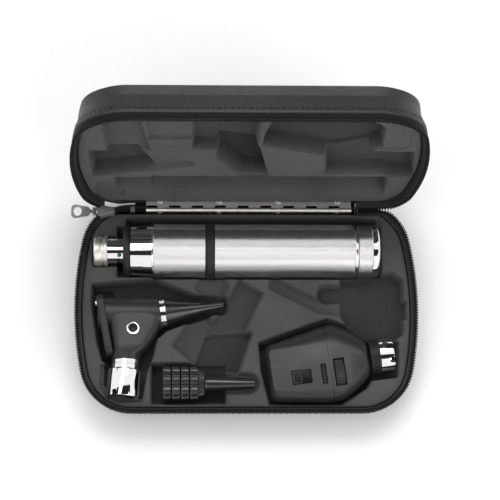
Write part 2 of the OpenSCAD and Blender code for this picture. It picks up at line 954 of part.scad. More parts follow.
module oto_body() {
    color([0.09, 0.09, 0.09])
        difference() {
            on_oto()
                union() {
                    translate([0, 0, -oto_t / 2]) linear_extrude(oto_t) oto_plan();
                    translate([-14, barrel_y, 0])
                        rotate([0, 90, 0]) cylinder(d = oto_t, h = ring_x + 14);
                }
            // Sight channel from the lens to the speculum
            on_view(-40) cylinder(r = 5, h = 60);
            on_view(-1.6) cylinder(r = 12, h = 10);
            lens_frame_cut();
            on_oto()
                translate([port_x, port_y, oto_t / 2 - 3]) cylinder(r = port_hole_r, h = 6);
            on_socket(-8) cylinder(d = lamp_d + 0.3, h = 20);
            lens_pivot_place() cylinder(r = lens_pivot_r + 0.02, h = lens_t + 3.2);
        }
}

module oto_neck() {
    color([0.88, 0.88, 0.88])
        difference() {
            on_socket(0) cylinder(d = oto_collar_d, h = oto_collar_l);
            on_socket(-1) cylinder(d = lamp_d + 0.3, h = oto_collar_l + 2);
            on_oto() translate([0, 0, -oto_t / 2 - 1]) linear_extrude(oto_t + 2) oto_plan();
        }
}

module oto_socket() {
    color([0.9, 0.9, 0.9])
        difference() {
            on_socket(oto_collar_l) cylinder(d = socket_d, h = oto_socket_l);
            on_socket(oto_collar_l + 2.5) cylinder(d = socket_bore, h = oto_socket_l);
            on_socket(oto_collar_l - 1) cylinder(d = lamp_d + 0.3, h = 6);
            for (a = [30 : 120 : 270])
                on_socket(oto_collar_l + oto_socket_l - 6)
                    rotate([0, 0, a]) translate([socket_bore / 2 - 0.6, -1.2, 0]) cube([2, 2.4, 8]);
        }
}

module oto_tip_ring() {
    color([0.88, 0.88, 0.86])
        on_view(-1.5)
            difference() {
                cylinder(d = tip_ring_d, h = ring_l);
                translate([0, 0, -1]) cylinder(r = 5, h = ring_l + 2);
            }
}

module oto_port() {
    color([0.85, 0.85, 0.83])
        on_oto()
            translate([port_x, port_y, oto_t / 2])
                difference() {
                    cylinder(d = port_d, h = port_h);
                    translate([0, 0, -1]) cylinder(r = port_hole_r, h = port_h + 2);
                }
}

module oto_lamp() {
    color([0.8, 0.78, 0.7])
        on_socket(oto_collar_l - 4) {
            cylinder(d = lamp_d, h = lamp_l);
            translate([0, 0, lamp_l - eps]) cylinder(r = 0.8, h = 1.5);
        }
}

// Radius of the fitted speculum at the fraction u of its length
function sight_r(u) = tip_r + (speculum_r - tip_r) * (1 - u) ^ 1.5;

module oto_speculum() {
    steps = 8;
    outer = [for (k = [0 : steps]) [sight_r(k / steps), speculum_l * k / steps]];
    inner = [for (k = [steps : -1 : 0]) [sight_r(k / steps) - tip_wall, speculum_l * k / steps]];
    color([0.08, 0.08, 0.08])
        on_view(ring_l - 1.5 + 0.1)
            rotate_extrude() polygon(concat(outer, inner));
}

// The lens frame leans with the rear of the body; its frame has +Z along the sight line.
module on_lens() {
    on_oto()
        translate([lens_x, lens_top, 0])
            rotate([0, 0, lens_tilt])
                rotate([0, 90, 0]) children();
}

module lens_plan(grow) {
    hull()
        for (p = [[-1, -4], [1, -4], [-1, 4 - lens_l], [1, 4 - lens_l]])
            translate([p.x * (lens_w / 2 - 4), p.y]) circle(r = 4 + grow, $fn = 32);
}

module lens_pivot_place() {
    on_lens() translate([0, -lens_pivot_in, 0]) children();
}

module lens_frame_cut() {
    on_lens() translate([0, 0, -10]) linear_extrude(10 + lens_t + 0.2) lens_plan(4);
}

module oto_lens_frame() {
    color([0.1, 0.1, 0.1])
        on_lens()
            difference() {
                linear_extrude(lens_t) lens_plan(0);
                translate([0, -lens_glass_in, -1]) cylinder(d = lens_glass_d, h = lens_t + 2);
                translate([0, -lens_pivot_in, -1])
                    cylinder(r = lens_pivot_r + 0.05, h = lens_t + 2);
            }
}

module oto_lens() {
    color([0.7, 0.75, 0.78, 0.4])
        on_lens()
            translate([0, -lens_glass_in, 0.8])
                cylinder(d = lens_glass_d - 0.02, h = 2.4);
}

module oto_lens_pivot() {
    color([0.7, 0.7, 0.7])
        lens_pivot_place() {
            translate([0, 0, -0.9]) cylinder(r = 1.6, h = 0.85);
            translate([0, 0, -0.1]) cylinder(r = lens_pivot_r, h = lens_t + 3.1);
        }
}

module oto_pocket() {
    from_left() {
        pocket(oto_z - oto_t / 2 - seat_gap)
            polygon([[9.6, 71.9], [9.7, 61.3], [13.2, 38.6], [17.2, 31.1], [17.2, 25.5],
                [39.5, 25.5], [42, 32.6], [43.8, 41.9], [49.6, 46.9], [65, 52.9], [81.8, 57.7],
                [82.8, 62.1], [82, 65.2], [65, 65.9], [51.7, 71.2], [42.8, 75]]);
        pocket(oto_z - lens_w / 2 - 2)
            polygon([[9.6, 70], [9.7, 61.3], [13.2, 38.6], [15.4, 29.8], [22, 29.8], [22, 60],
                [19, 70]]);
        pocket(oto_z - 8)
            polygon([[16.6, 26.5], [16.6, 16.5], [19.5, 12], [36.5, 9], [39.5, 26.5]]);
        pocket(oto_z - 2)
            polygon([[14.9, 26.5], [14.6, 15], [18, 9.3], [23, 7], [36.5, 7], [39.5, 26.5]]);
    }
    on_socket(-1) cylinder(d = socket_d + 2 * pocket_gap, h = oto_collar_l + oto_socket_l + 1.5);
}

// Spare specula

// Outer radius of the slender cone of speculum k, t beyond its step
function cone_r(k, t) = 4.3 - (4 - k) * 0.6 - 1.6 * t / cone_l;

module spare_speculum(k) {
    wall = 0.45;
    x0 = nest_x + (k - 4) * nest_step;
    outer = [
        [flange_r, -flange_l - nest_step], [flange_r - 0.6, -nest_step - 0.1],
        [flange_r - 1.4, -nest_step], [flange_r - 3.2, -1.5], [cone_r(k, 0) + 0.5, -1.5],
        [cone_r(k, 0), 0], [cone_r(k, cone_l), cone_l]
    ];
    inner = [
        [cone_r(k, cone_l) - wall, cone_l], [cone_r(k, 0) - wall, 0],
        [cone_r(k, 0) + 0.2 - wall, -2], [flange_r - 3.9, -2.1], [flange_r - 2.1, -nest_step - 0.4],
        [flange_r - 0.8, -flange_l - nest_step]
    ];
    translate([x0, nest_y, nest_z])
        rotate([0, 90, 0])
            rotate_extrude() polygon(concat(outer, inner));
}

module spare_speculum_1() {
    color([0.07, 0.07, 0.07]) spare_speculum(1);
}

module spare_speculum_2() {
    color([0.07, 0.07, 0.07]) spare_speculum(2);
}

module spare_speculum_3() {
    color([0.07, 0.07, 0.07]) spare_speculum(3);
}

module spare_speculum_4() {
    color([0.07, 0.07, 0.07]) spare_speculum(4);
}

module nest_pocket() {
    from_left() {
        pocket(nest_z - flange_r - seat_gap) translate([42.5, 7.4]) square([39.4, 19.7]);
        pocket(nest_z - 5.5) translate([42.5, 5.9]) square([39.4, 21.2]);
    }
    translate([nest_x, nest_y, nest_z])
        rotate([0, 90, 0]) cylinder(r = 4.8, h = cone_l + pocket_gap);
    pocket(nest_z)
        hull()
            for (x = [nest_x - 5, nest_x + cone_l - 3.6])
                translate([x, nest_y]) circle(r = 5.2, $fn = 32);
}

// Ophthalmoscope head

module on_scope() {
    translate([scope_x, scope_y, scope_z]) rotate([0, 0, scope_tilt]) children();
}

// Plan of the body between its flat faces (w = 0) and its widest line (w = 1)
scope_wide = [[-56.1, 12.9], [-18.8, 21.6], [-6.9, 15.5], [0.3, 8.2], [0.3, -9.4], [-6.7, -15.5],
    [-15.9, -21.5], [-23.7, -22.4], [-56.1, -17.8]];
scope_flat = [[-54.7, 9], [-18.8, 7.8], [-12.8, 4.4], [-3.5, 0.5], [-3.5, -4.5], [-8.4, -11],
    [-16.2, -16.6], [-23.6, -17.6], [-54.7, -13.8]];

function scope_plan(w) = [for (k = [0 : len(scope_wide) - 1])
    scope_flat[k] + w * (scope_wide[k] - scope_flat[k])];

// Half plane to the left or right of the split line
module scope_side(s) {
    translate([s < 0 ? split_x - 60 : split_x + split_gap, -40]) square([60, 80]);
}

module scope_slice(w, z, s) {
    translate([0, 0, z])
        linear_extrude(eps)
            intersection() {
                polygon(scope_plan(w));
                scope_side(s);
            }
}

module scope_shell(s) {
    h = scope_t / 2;
    on_scope()
        hull() {
            scope_slice(0, h - eps, s);
            scope_slice(0.35, h * 0.9, s);
            scope_slice(0.75, h * 0.64, s);
            scope_slice(1, h * 0.2, s);
            scope_slice(0.9, -h * 0.2, s);
            scope_slice(0.5, -h * 0.55, s);
            scope_slice(0, -h, s);
        }
}

// Frame on the common axle of the two wheels
module on_axle(x) {
    on_scope() translate([x, axle_y, axle_z]) rotate([0, 90, 0]) children();
}

module wheel_slot(x, w, r, l) {
    on_axle(x) cylinder(r = r + 0.4, h = w + 0.6, center = true);
    on_scope()
        translate([x - w / 2 - 0.3, axle_y - l / 2, scope_t / 2 - 2.4])
            cube([w + 0.6, l, 4]);
}

module axle_bore() {
    on_axle(dial_x - 4) cylinder(r = axle_r, h = wheel_x - dial_x + 11);
}

module scope_front() {
    color([0.1, 0.1, 0.1])
        difference() {
            scope_shell(-1);
            wheel_slot(dial_x, dial_w, dial_r, dial_slot_l);
            axle_bore();
            on_scope()
                translate([window_x - window_l / 2, window_y - window_w / 2, scope_t / 2 - window_in])
                    cube([window_l, window_w, 3]);
        }
}

module scope_rear() {
    color([0.1, 0.1, 0.1])
        difference() {
            scope_shell(1);
            wheel_slot(wheel_x, wheel_w, wheel_r, wheel_slot_l);
            axle_bore();
        }
}

module scope_window() {
    color([0.04, 0.04, 0.05])
        on_scope()
            translate([window_x - window_l / 2 + 0.05, window_y - window_w / 2 + 0.05,
                    scope_t / 2 - window_in])
                cube([window_l - 0.1, window_w - 0.1, 1.1]);
}

module scope_neck() {
    color([0.07, 0.07, 0.07])
        difference() {
            on_scope()
                rotate([0, 90, 0]) cylinder(d = scope_neck_d, h = scope_neck_l + 0.8);
            on_scope()
                translate([-1, 0, 0]) rotate([0, 90, 0]) cylinder(d = lamp_d + 0.3, h = scope_neck_l + 2);
            scope_shell(1);
        }
}

module scope_socket() {
    color([0.88, 0.88, 0.88])
        on_scope()
            translate([scope_neck_l + 0.8, 0, 0])
                rotate([0, 90, 0])
                    difference() {
                        cylinder(d = socket_d, h = scope_socket_l);
                        translate([0, 0, 1.2]) cylinder(d = socket_bore, h = scope_socket_l);
                        translate([0, 0, -1]) cylinder(d = lamp_d + 0.3, h = 4);
                        for (a = [30 : 120 : 270])
                            rotate([0, 0, a])
                                translate([socket_bore / 2 - 0.6, -1.2, scope_socket_l - 4])
                                    cube([2, 2.4, 6]);
                    }
}

module scope_lamp() {
    color([0.8, 0.78, 0.7])
        on_scope()
            translate([1.4, 0, 0]) rotate([0, 90, 0]) cylinder(d = lamp_d, h = scope_neck_l + 4);
}

module axle_wheel(r, w) {
    difference() {
        cylinder(r = r, h = w, center = true);
        cylinder(r = axle_r + 0.06, h = w + 2, center = true);
    }
}

module lens_wheel() {
    color([0.12, 0.12, 0.12]) on_axle(wheel_x) axle_wheel(wheel_r, wheel_w);
}

module aperture_dial() {
    color([0.12, 0.12, 0.12]) on_axle(dial_x) axle_wheel(dial_r, dial_w);
}

module wheel_axle() {
    color([0.7, 0.7, 0.7])
        on_axle(dial_x - 3.9) cylinder(r = axle_r - 0.02, h = wheel_x - dial_x + 10.8);
}

// The pocket steps in toward the front wall as that wall leans in.
module scope_pocket(z) {
    lean = draft_in / (tray_z - edge_r);
    for (f = [z, 10, 13, 16]) {
        y = tray_in + lean * (tray_z - f) + wall_skin;
        pocket(f)
            from_right()
                polygon([[-86.7, 38.7], [-49.6, 52.3], [-36.4, 47], [-29.8, 42.4], [-26, 40.8],
                    [-26, 19.6], [-28.6, 14.9], [-42.5, y], [-81.1, y], [-85.3, 23.7]]);
    }
    pocket(z + 1.6)
        from_right()
            polygon([[-30, 42.4], [-13.8, 42.8], [-11.4, 38.7], [-11.8, 20.8], [-25.9, 19.2],
                [-30, 19.2]]);
}

base_shell();
base_tray();
base_zip_tape();
base_zip_teeth();
base_hinge_leaf();
base_rivets();
hinge_pin();
spine_cover();
zip_stub();
zip_end_clip();
base_zip_stop();
zip_slider();
zip_pull();
lid_shell();
lid_tray();
lid_zip_tape();
lid_zip_teeth();
lid_hinge_leaf();
lid_rivets();
lid_zip_stop();
battery_tube();
tube_bead();
black_band();
handle_core();
handle_collar();
bayonet_ring();
contact_insulator();
contact_pin();
batteries();
front_sleeve();
plain_sleeve();
lock_button();
end_cap();
cap_dome();
cap_spring();
oto_body();
oto_neck();
oto_socket();
oto_tip_ring();
oto_port();
oto_lamp();
oto_speculum();
oto_lens_frame();
oto_lens();
oto_lens_pivot();
spare_speculum_1();
spare_speculum_2();
spare_speculum_3();
spare_speculum_4();
scope_front();
scope_rear();
scope_window();
scope_neck();
scope_socket();
scope_lamp();
lens_wheel();
wheel_axle();
aperture_dial();
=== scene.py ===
"""Dressed look of the open carry case with its otoscope set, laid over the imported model."""
import json
import math

import bmesh
import bpy
import numpy as np
from mathutils import Matrix


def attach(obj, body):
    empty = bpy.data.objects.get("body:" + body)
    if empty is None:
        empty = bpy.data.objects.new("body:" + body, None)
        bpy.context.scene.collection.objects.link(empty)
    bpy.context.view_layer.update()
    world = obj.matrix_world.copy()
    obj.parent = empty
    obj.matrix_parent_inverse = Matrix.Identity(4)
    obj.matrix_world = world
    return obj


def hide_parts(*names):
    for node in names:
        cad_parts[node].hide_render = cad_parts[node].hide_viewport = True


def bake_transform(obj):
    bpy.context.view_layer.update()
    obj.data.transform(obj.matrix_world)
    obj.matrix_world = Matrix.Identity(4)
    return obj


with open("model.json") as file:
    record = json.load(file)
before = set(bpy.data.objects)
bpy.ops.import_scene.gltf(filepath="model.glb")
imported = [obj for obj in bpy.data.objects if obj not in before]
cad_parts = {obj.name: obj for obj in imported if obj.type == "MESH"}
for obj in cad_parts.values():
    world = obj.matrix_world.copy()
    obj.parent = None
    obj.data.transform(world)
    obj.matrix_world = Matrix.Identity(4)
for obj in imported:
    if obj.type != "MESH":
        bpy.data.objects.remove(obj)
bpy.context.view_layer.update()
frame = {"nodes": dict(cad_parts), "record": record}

# Sizes in millimetres, as in the part's source
CASE_W, CASE_D, HALF_H = 188.0, 119.0, 24.5
CORNER_R, SIDE_R, DRAFT, EDGE_R = 28.0, 188.0, 3.8, 6.0
TRAY_Z, TRAY_IN = 19.5, 3.5
LEFT, RIGHT, FRONT = -CASE_W / 2, CASE_W / 2, -CASE_D / 2
HINGE_Y, HINGE_X0, HINGE_X1, LID_OPEN, KNUCKLES = 54.2, -55.65, 58.65, 96.0, 18
HANDLE_Y, HANDLE_Z = 31.6, 20.0
OTO = np.array([-66.0, -18.0, 18.5])
SCOPE = np.array([66.8, -28.6, 19.5])


def axes_matrix(right, up, back, at):
    return Matrix([[right[k], up[k], back[k], at[k]] for k in range(3)] + [[0, 0, 0, 1]])


# Camera, fitted to the photograph's frame
def add_camera():
    data = bpy.data.cameras.new("camera")
    data.lens, data.sensor_width, data.sensor_fit = 130.284, 36.0, "HORIZONTAL"
    data.clip_end = 20
    cam = bpy.data.objects.new("camera", data)
    right, up = (0.999403, -0.006978, 0.033851), (-0.002347, 0.963444, 0.267899)
    back = (-0.034483, -0.267818, 0.962852)
    at = (-0.032561, -0.237153, 0.989103)
    cam.matrix_world = axes_matrix(right, up, back, at)
    bpy.context.collection.objects.link(cam)
    bpy.context.scene.camera = cam


# Shader helpers

def node(tree, kind, **inputs):
    """Add a shader node; a key names an input (i0, i1 by number) or a property of the node."""
    made = tree.nodes.new(kind)
    for key, value in inputs.items():
        if key[0] == "i" and key[1:].isdigit():
            slot = made.inputs[int(key[1:])]
        elif key.replace("_", " ") in made.inputs:
            slot = made.inputs[key.replace("_", " ")]
        else:
            setattr(made, key, value)
            continue
        if isinstance(value, bpy.types.NodeSocket):
            tree.links.new(value, slot)
        else:
            slot.default_value = value
    return made


def maths(tree, operation, a, b=0.0):
    return node(tree, "ShaderNodeMath", operation=operation, i0=a, i1=b).outputs[0]


def spread(tree, value, low, high, out_low=0.0, out_high=1.0):
    made = node(tree, "ShaderNodeMapRange", Value=value, From_Min=low, From_Max=high,
                To_Min=out_low, To_Max=out_high)
    return made.outputs["Result"]


def effect(name, inputs, outputs, build):
    """A shader node group: build(tree, inputs) returns one socket for each named output."""
    tree = bpy.data.node_groups.new(name, "ShaderNodeTree")
    for label, kind, value in inputs:
        made = tree.interface.new_socket(label, in_out="INPUT", socket_type=kind)
        if value is not None:
            made.default_value = value
    for label, kind in outputs:
        tree.interface.new_socket(label, in_out="OUTPUT", socket_type=kind)
    source = tree.nodes.new("NodeGroupInput")
    sink = tree.nodes.new("NodeGroupOutput")
    for k, made in enumerate(build(tree, source.outputs)):
        tree.links.new(made, sink.inputs[k])
    return tree


FLOAT, VECTOR = "NodeSocketFloat", "NodeSocketVector"


def pebble_grain(tree, given):
    cells = node(tree, "ShaderNodeTexVoronoi", feature="SMOOTH_F1", Vector=given["Vector"],
                 Scale=given["Scale"], Smoothness=0.35)
    fine = node(tree, "ShaderNodeTexNoise", Vector=given["Vector"],
                Scale=maths(tree, "MULTIPLY", given["Scale"], 2.3), Detail=3.0)
    broad = node(tree, "ShaderNodeTexNoise", Vector=given["Vector"], Scale=22.0, Detail=2.0)
    height = maths(tree, "ADD", maths(tree, "MULTIPLY", cells.outputs["Distance"], 0.8),
                   maths(tree, "MULTIPLY", fine.outputs["Fac"], 0.35))
    return height, spread(tree, cells.outputs["Distance"], 0.1, 0.6), broad.outputs["Fac"]


def flock_fuzz(tree, given):
    fibre = node(tree, "ShaderNodeTexNoise", Vector=given["Vector"], Scale=given["Scale"],
                 Detail=4.0, Roughness=0.7)
    patch = node(tree, "ShaderNodeTexNoise", Vector=given["Vector"], Scale=35.0, Detail=3.0)
    mixed = maths(tree, "ADD", maths(tree, "MULTIPLY", fibre.outputs["Fac"], 0.6),
                  maths(tree, "MULTIPLY", patch.outputs["Fac"], 0.4))
    return fibre.outputs["Fac"], spread(tree, mixed, 0.36, 0.64)


def handling(tree, given):
    smear = node(tree, "ShaderNodeTexNoise", Vector=given["Vector"], Scale=given["Scale"],
                 Detail=4.0, Roughness=0.6)
    stretched = node(tree, "ShaderNodeMapping", Vector=given["Vector"], Scale=(60, 900, 900))
    lines = node(tree, "ShaderNodeTexNoise", Vector=stretched.outputs["Vector"], Scale=1.0,
                 Detail=2.0)
    marks = maths(tree, "ADD", maths(tree, "MULTIPLY", smear.outputs["Fac"], 0.65),
                  maths(tree, "MULTIPLY", lines.outputs["Fac"], 0.35))
    return (spread(tree, marks, 0.3, 0.7),)


def cross_knurl(tree, given):
    parts = node(tree, "ShaderNodeSeparateXYZ", Vector=given["Vector"])
    u, v = parts.outputs["X"], parts.outputs["Y"]
    rows = [maths(tree, "PINGPONG", maths(tree, op, u, v), 0.5) for op in ("ADD", "SUBTRACT")]
    height = maths(tree, "MINIMUM", *rows)
    return maths(tree, "MULTIPLY", height, 2.0), spread(tree, height, 0.02, 0.22)


def tape_weave(tree, given):
    parts = node(tree, "ShaderNodeSeparateXYZ", Vector=given["Vector"])
    slant = maths(tree, "ADD", parts.outputs["X"], maths(tree, "MULTIPLY",
                  maths(tree, "PINGPONG", parts.outputs["Y"], 1.0), 0.8))
    ribs = maths(tree, "PINGPONG", slant, 0.5)
    yarn = maths(tree, "PINGPONG", parts.outputs["Y"], 0.5)
    return maths(tree, "ADD", ribs, maths(tree, "MULTIPLY", yarn, 0.5)), spread(tree, ribs, 0, 0.5)


def make_effects():
    base = [("Vector", VECTOR, None), ("Scale", FLOAT, 100.0)]
    uv = [("Vector", VECTOR, None)]
    two = [("Height", FLOAT), ("Shade", FLOAT)]
    return {
        "grain": effect("pebble_grain", base, two + [("Patch", FLOAT)], pebble_grain),
        "flock": effect("flock_fuzz", base, two, flock_fuzz),
        "handling": effect("handling_marks", base, [("Marks", FLOAT)], handling),
        "knurl": effect("cross_knurl", uv, two, cross_knurl),
        "weave": effect("tape_weave", uv, two, tape_weave),
    }


EFFECTS = make_effects()


def finish_of(name, **fixed):
    """A new material with a Principled shader whose plain values are set on its own sockets."""
    mat = bpy.data.materials.new(name)
    mat.use_nodes = True
    tree = mat.node_tree
    shader = tree.nodes["Principled BSDF"]
    for key, value in fixed.items():
        shader.inputs[key.replace("_", " ")].default_value = value
    return mat, tree, shader


def use(tree, name, **inputs):
    return node(tree, "ShaderNodeGroup", node_tree=EFFECTS[name], **inputs).outputs


def place(tree, layer="Object"):
    return tree.nodes.new("ShaderNodeTexCoord").outputs[layer]


def two_tone(tree, shader, factor, dark, light):
    ramp = node(tree, "ShaderNodeMix", data_type="RGBA", i0=factor)
    ramp.inputs[6].default_value = (*dark, 1)
    ramp.inputs[7].default_value = (*light, 1)
    tree.links.new(ramp.outputs[2], shader.inputs["Base Color"])


def relief(tree, shader, height, depth):
    made = node(tree, "ShaderNodeBump", Height=height, Distance=depth, Strength=1.0)
    tree.links.new(made.outputs["Normal"], shader.inputs["Normal"])


def rough_between(tree, shader, value, low, high):
    tree.links.new(spread(tree, value, 0, 1, low, high), shader.inputs["Roughness"])


def grained(name, dark, light, rough, scale, depth):
    mat, tree, shader = finish_of(name, Specular_IOR_Level=0.45)
    out = use(tree, "grain", Vector=place(tree), Scale=scale)
    two_tone(tree, shader, maths(tree, "MULTIPLY", out["Shade"], out["Patch"]), dark, light)
    rough_between(tree, shader, out["Shade"], rough + 0.1, rough)
    relief(tree, shader, out["Height"], depth)
    return mat


def flocked(name, dark, light):
    mat, tree, shader = finish_of(name, Specular_IOR_Level=0.2, Sheen_Weight=0.12,
                                  Sheen_Roughness=0.5)
    shader.inputs["Sheen Tint"].default_value = (0.75, 0.77, 0.75, 1)
    out = use(tree, "flock", Vector=place(tree), Scale=1500.0)
    # Painted shade: the pocket depth in the UV's first coordinate darkens the flock, down to 7% of
    # its light share at 70% of the tray's depth.
    depth = node(tree, "ShaderNodeSeparateXYZ", Vector=place(tree, "UV")).outputs["X"]
    painted_pocket_shade = spread(tree, depth, 0.08, 0.7, 1.0, 0.07)
    shade = maths(tree, "MULTIPLY", spread(tree, out["Shade"], 0, 1, 0.55, 1.0), painted_pocket_shade)
    two_tone(tree, shader, shade, dark, light)
    rough_between(tree, shader, out["Shade"], 0.95, 0.85)
    relief(tree, shader, out["Height"], 0.00025)
    return mat


def metal(name, dark, light, low, high, scale=60.0):
    mat, tree, shader = finish_of(name, Metallic=1.0)
    out = use(tree, "handling", Vector=place(tree), Scale=scale)
    two_tone(tree, shader, out["Marks"], dark, light)
    rough_between(tree, shader, out["Marks"], high, low)
    return mat


def knurled_metal(name, dark, light, low, high, depth):
    mat, tree, shader = finish_of(name, Metallic=1.0)
    out = use(tree, "knurl", Vector=place(tree, "UV"))
    # Painted shade: the knurl's grooves take the darker colour and its tops the lighter one.
    two_tone(tree, shader, out["Shade"], dark, light)
    marks = use(tree, "handling", Vector=place(tree), Scale=40.0)
    rough_between(tree, shader, marks["Marks"], high, low)
    relief(tree, shader, out["Height"], depth)
    return mat


def plastic(name, dark, light, low, high, scale=70.0, depth=0.0, grain=2600.0, coat=0.0,
            spec=0.5):
    mat, tree, shader = finish_of(name, Coat_Weight=coat, Coat_Roughness=0.12,
                                  Specular_IOR_Level=spec)
    out = use(tree, "handling", Vector=place(tree), Scale=scale)
    two_tone(tree, shader, out["Marks"], dark, light)
    rough_between(tree, shader, out["Marks"], high, low)
    if depth:
        fine = use(tree, "grain", Vector=place(tree), Scale=grain)
        relief(tree, shader, fine["Height"], depth)
    return mat


def woven(name, dark, light):
    mat, tree, shader = finish_of(name, Specular_IOR_Level=0.15, Sheen_Weight=0.05)
    out = use(tree, "weave", Vector=place(tree, "UV"))
    two_tone(tree, shader, out["Shade"], dark, light)
    rough_between(tree, shader, out["Shade"], 0.9, 0.75)
    relief(tree, shader, out["Height"], 0.00012)
    return mat


def clear_glass(name):
    mat, tree, shader = finish_of(name, Transmission_Weight=1.0, Metallic=0.0, IOR=1.5)
    out = use(tree, "handling", Vector=place(tree), Scale=90.0)
    two_tone(tree, shader, out["Marks"], (0.94, 0.96, 0.95), (1, 1, 1))
    rough_between(tree, shader, out["Marks"], 0.03, 0.0)
    return mat


FINISH = {
    "cover": grained("cover_leathercloth", (0.012, 0.0125, 0.012), (0.036, 0.038, 0.036), 0.48,
                     1150.0, 0.00009),
    # insert: flock tones; the first colour is also the painted shade of the deep pockets.
    "insert": flocked("insert_flock_painted_shade", (0.006, 0.0062, 0.006), (0.102, 0.104, 0.101)),
    "binding": woven("binding_weave", (0.012, 0.012, 0.012), (0.04, 0.041, 0.04)),
    "tape": woven("tape_weave", (0.004, 0.004, 0.004), (0.016, 0.0155, 0.015)),
    "coil": plastic("coil_teeth", (0.005, 0.0045, 0.0045), (0.014, 0.012, 0.0115), 0.4, 0.5,
                    spec=0.2),
    "spine": grained("spine_vinyl", (0.012, 0.012, 0.012), (0.03, 0.03, 0.03), 0.5, 1400.0,
                     0.00006),
    "zinc": plastic("zinc_enamel", (0.1, 0.102, 0.1), (0.16, 0.162, 0.158), 0.28, 0.38, 90.0,
                    0.00002, coat=0.25),
    "nickel": metal("nickel_plate", (0.8, 0.79, 0.75), (0.86, 0.85, 0.82), 0.4, 0.46, 110.0),
    "chrome": metal("polished_chrome", (0.86, 0.86, 0.86), (0.9, 0.9, 0.9), 0.05, 0.08),
    # knurled: chrome tones, darker in the knurl's grooves as painted shade.
    "knurled": knurled_metal("knurled_chrome", (0.56, 0.555, 0.55), (0.8, 0.79, 0.785), 0.25,
                             0.26, 0.00007),
    "black": plastic("matt_black", (0.014, 0.014, 0.0138), (0.026, 0.026, 0.025), 0.42, 0.55,
                     60.0, 0.00003, spec=0.3),
    "blacksoft": plastic("satin_housing", (0.02, 0.02, 0.0195), (0.03, 0.03, 0.029), 0.34,
                         0.42, 45.0, 0.000018, 2200.0, spec=0.35),
    "specula": plastic("speculum_polypropylene", (0.008, 0.008, 0.007), (0.02, 0.02, 0.017),
                       0.18, 0.28, 120.0, 0.000006, 3000.0, spec=0.6),
    # window: the pane's own near-black; the same finish paints shade in the leaf's notches and the
    # port's opening.
    "window": plastic("dark_window_and_painted_shade", (0.002, 0.002, 0.002), (0.004, 0.004, 0.004), 0.2, 0.3,
                      spec=0.12),
    "green": plastic("green_button", (0.02, 0.26, 0.09), (0.05, 0.38, 0.15), 0.35, 0.45,
                     spec=0.2),
    "glass": clear_glass("lens_glass"),
    "brass": metal("gilt_contact", (0.66, 0.5, 0.22), (0.8, 0.64, 0.32), 0.2, 0.35),
    "cell": metal("cell_jacket", (0.2, 0.26, 0.35), (0.28, 0.35, 0.45), 0.35, 0.5),
    "white": plastic("insulator", (0.7, 0.69, 0.65), (0.82, 0.81, 0.77), 0.4, 0.55),
    "lamp": metal("lamp_base", (0.66, 0.64, 0.57), (0.78, 0.76, 0.69), 0.2, 0.35),
}


# Mesh helpers

def quads_of(rows, cols, wrap_rows=False, wrap_cols=False):
    """Quads between neighbours of a grid, and the same quads on a grid that isn't wrapped."""
    r = np.arange(rows if wrap_rows else rows - 1)[:, None]
    c = np.arange(cols if wrap_cols else cols - 1)[None, :]
    wide = cols + (1 if wrap_cols else 0)

    def corner(dr, dc):
        at = ((r + dr) % rows) * cols + (c + dc) % cols
        flat = (r + dr) * wide + (c + dc)
        return at.ravel(), flat.ravel()
    corners = [corner(0, 0), corner(0, 1), corner(1, 1), corner(1, 0)]
    return (np.stack([a for a, _ in corners], 1), np.stack([b for _, b in corners], 1))


def grid(points, uv=None, wrap_rows=False, wrap_cols=False, end_caps=()):
    """One surface: points (rows, cols, 3), uv on the grid with its wrapped edges repeated.

    end_caps closes the first (0) or last (-1) row with one face.
    """
    rows, cols = points.shape[:2]
    faces, flat = quads_of(rows, cols, wrap_rows, wrap_cols)
    if uv is None:
        u, v = np.meshgrid(np.arange(rows + 1.0), np.arange(cols + 1.0), indexing="ij")
        uv = np.stack([u, v], 2)[:rows + wrap_rows, :cols + wrap_cols]
    caps = [np.arange(cols) + (rows - 1) * cols * (1 if k else 0) for k in end_caps]
    return points.reshape(-1, 3), faces, uv.reshape(-1, 2)[flat], caps


def put(name, surfaces, body, finish, instead=(), sharp=32.0):
    """Make one piece of surfaces in millimetres, with its place in its mesh, riding on a body."""
    verts, polys, uvs, base = [], [], [], 0
    for points, faces, uv, caps in surfaces:
        verts.append(points)
        polys += (faces + base).tolist() + [(c + base).tolist() for c in caps]
        uvs.append(uv.reshape(-1, 2))
        uvs += [np.zeros((len(c), 2)) for c in caps]
        base += len(points)
    mesh = bpy.data.meshes.new(name)
    mesh.from_pydata((np.concatenate(verts) * 0.001).tolist(), [], polys)
    layer = mesh.uv_layers.new(name="UVMap")
    layer.data.foreach_set("uv", np.concatenate(uvs).astype(np.float32).ravel())
    work = bmesh.new()
    work.from_mesh(mesh)
    bmesh.ops.remove_doubles(work, verts=work.verts, dist=2e-6)
    bmesh.ops.recalc_face_normals(work, faces=work.faces)
    work.to_mesh(mesh)
    work.free()
    mesh.polygons.foreach_set("use_smooth", np.ones(len(mesh.polygons), bool))
    mesh.set_sharp_from_angle(angle=math.radians(sharp))
    mesh.materials.append(FINISH[finish])
    piece = bpy.data.objects.new(name, mesh)
    bpy.context.collection.objects.link(piece)
    if body:
        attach(piece, body)
    if instead:
        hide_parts(*instead)
    return piece


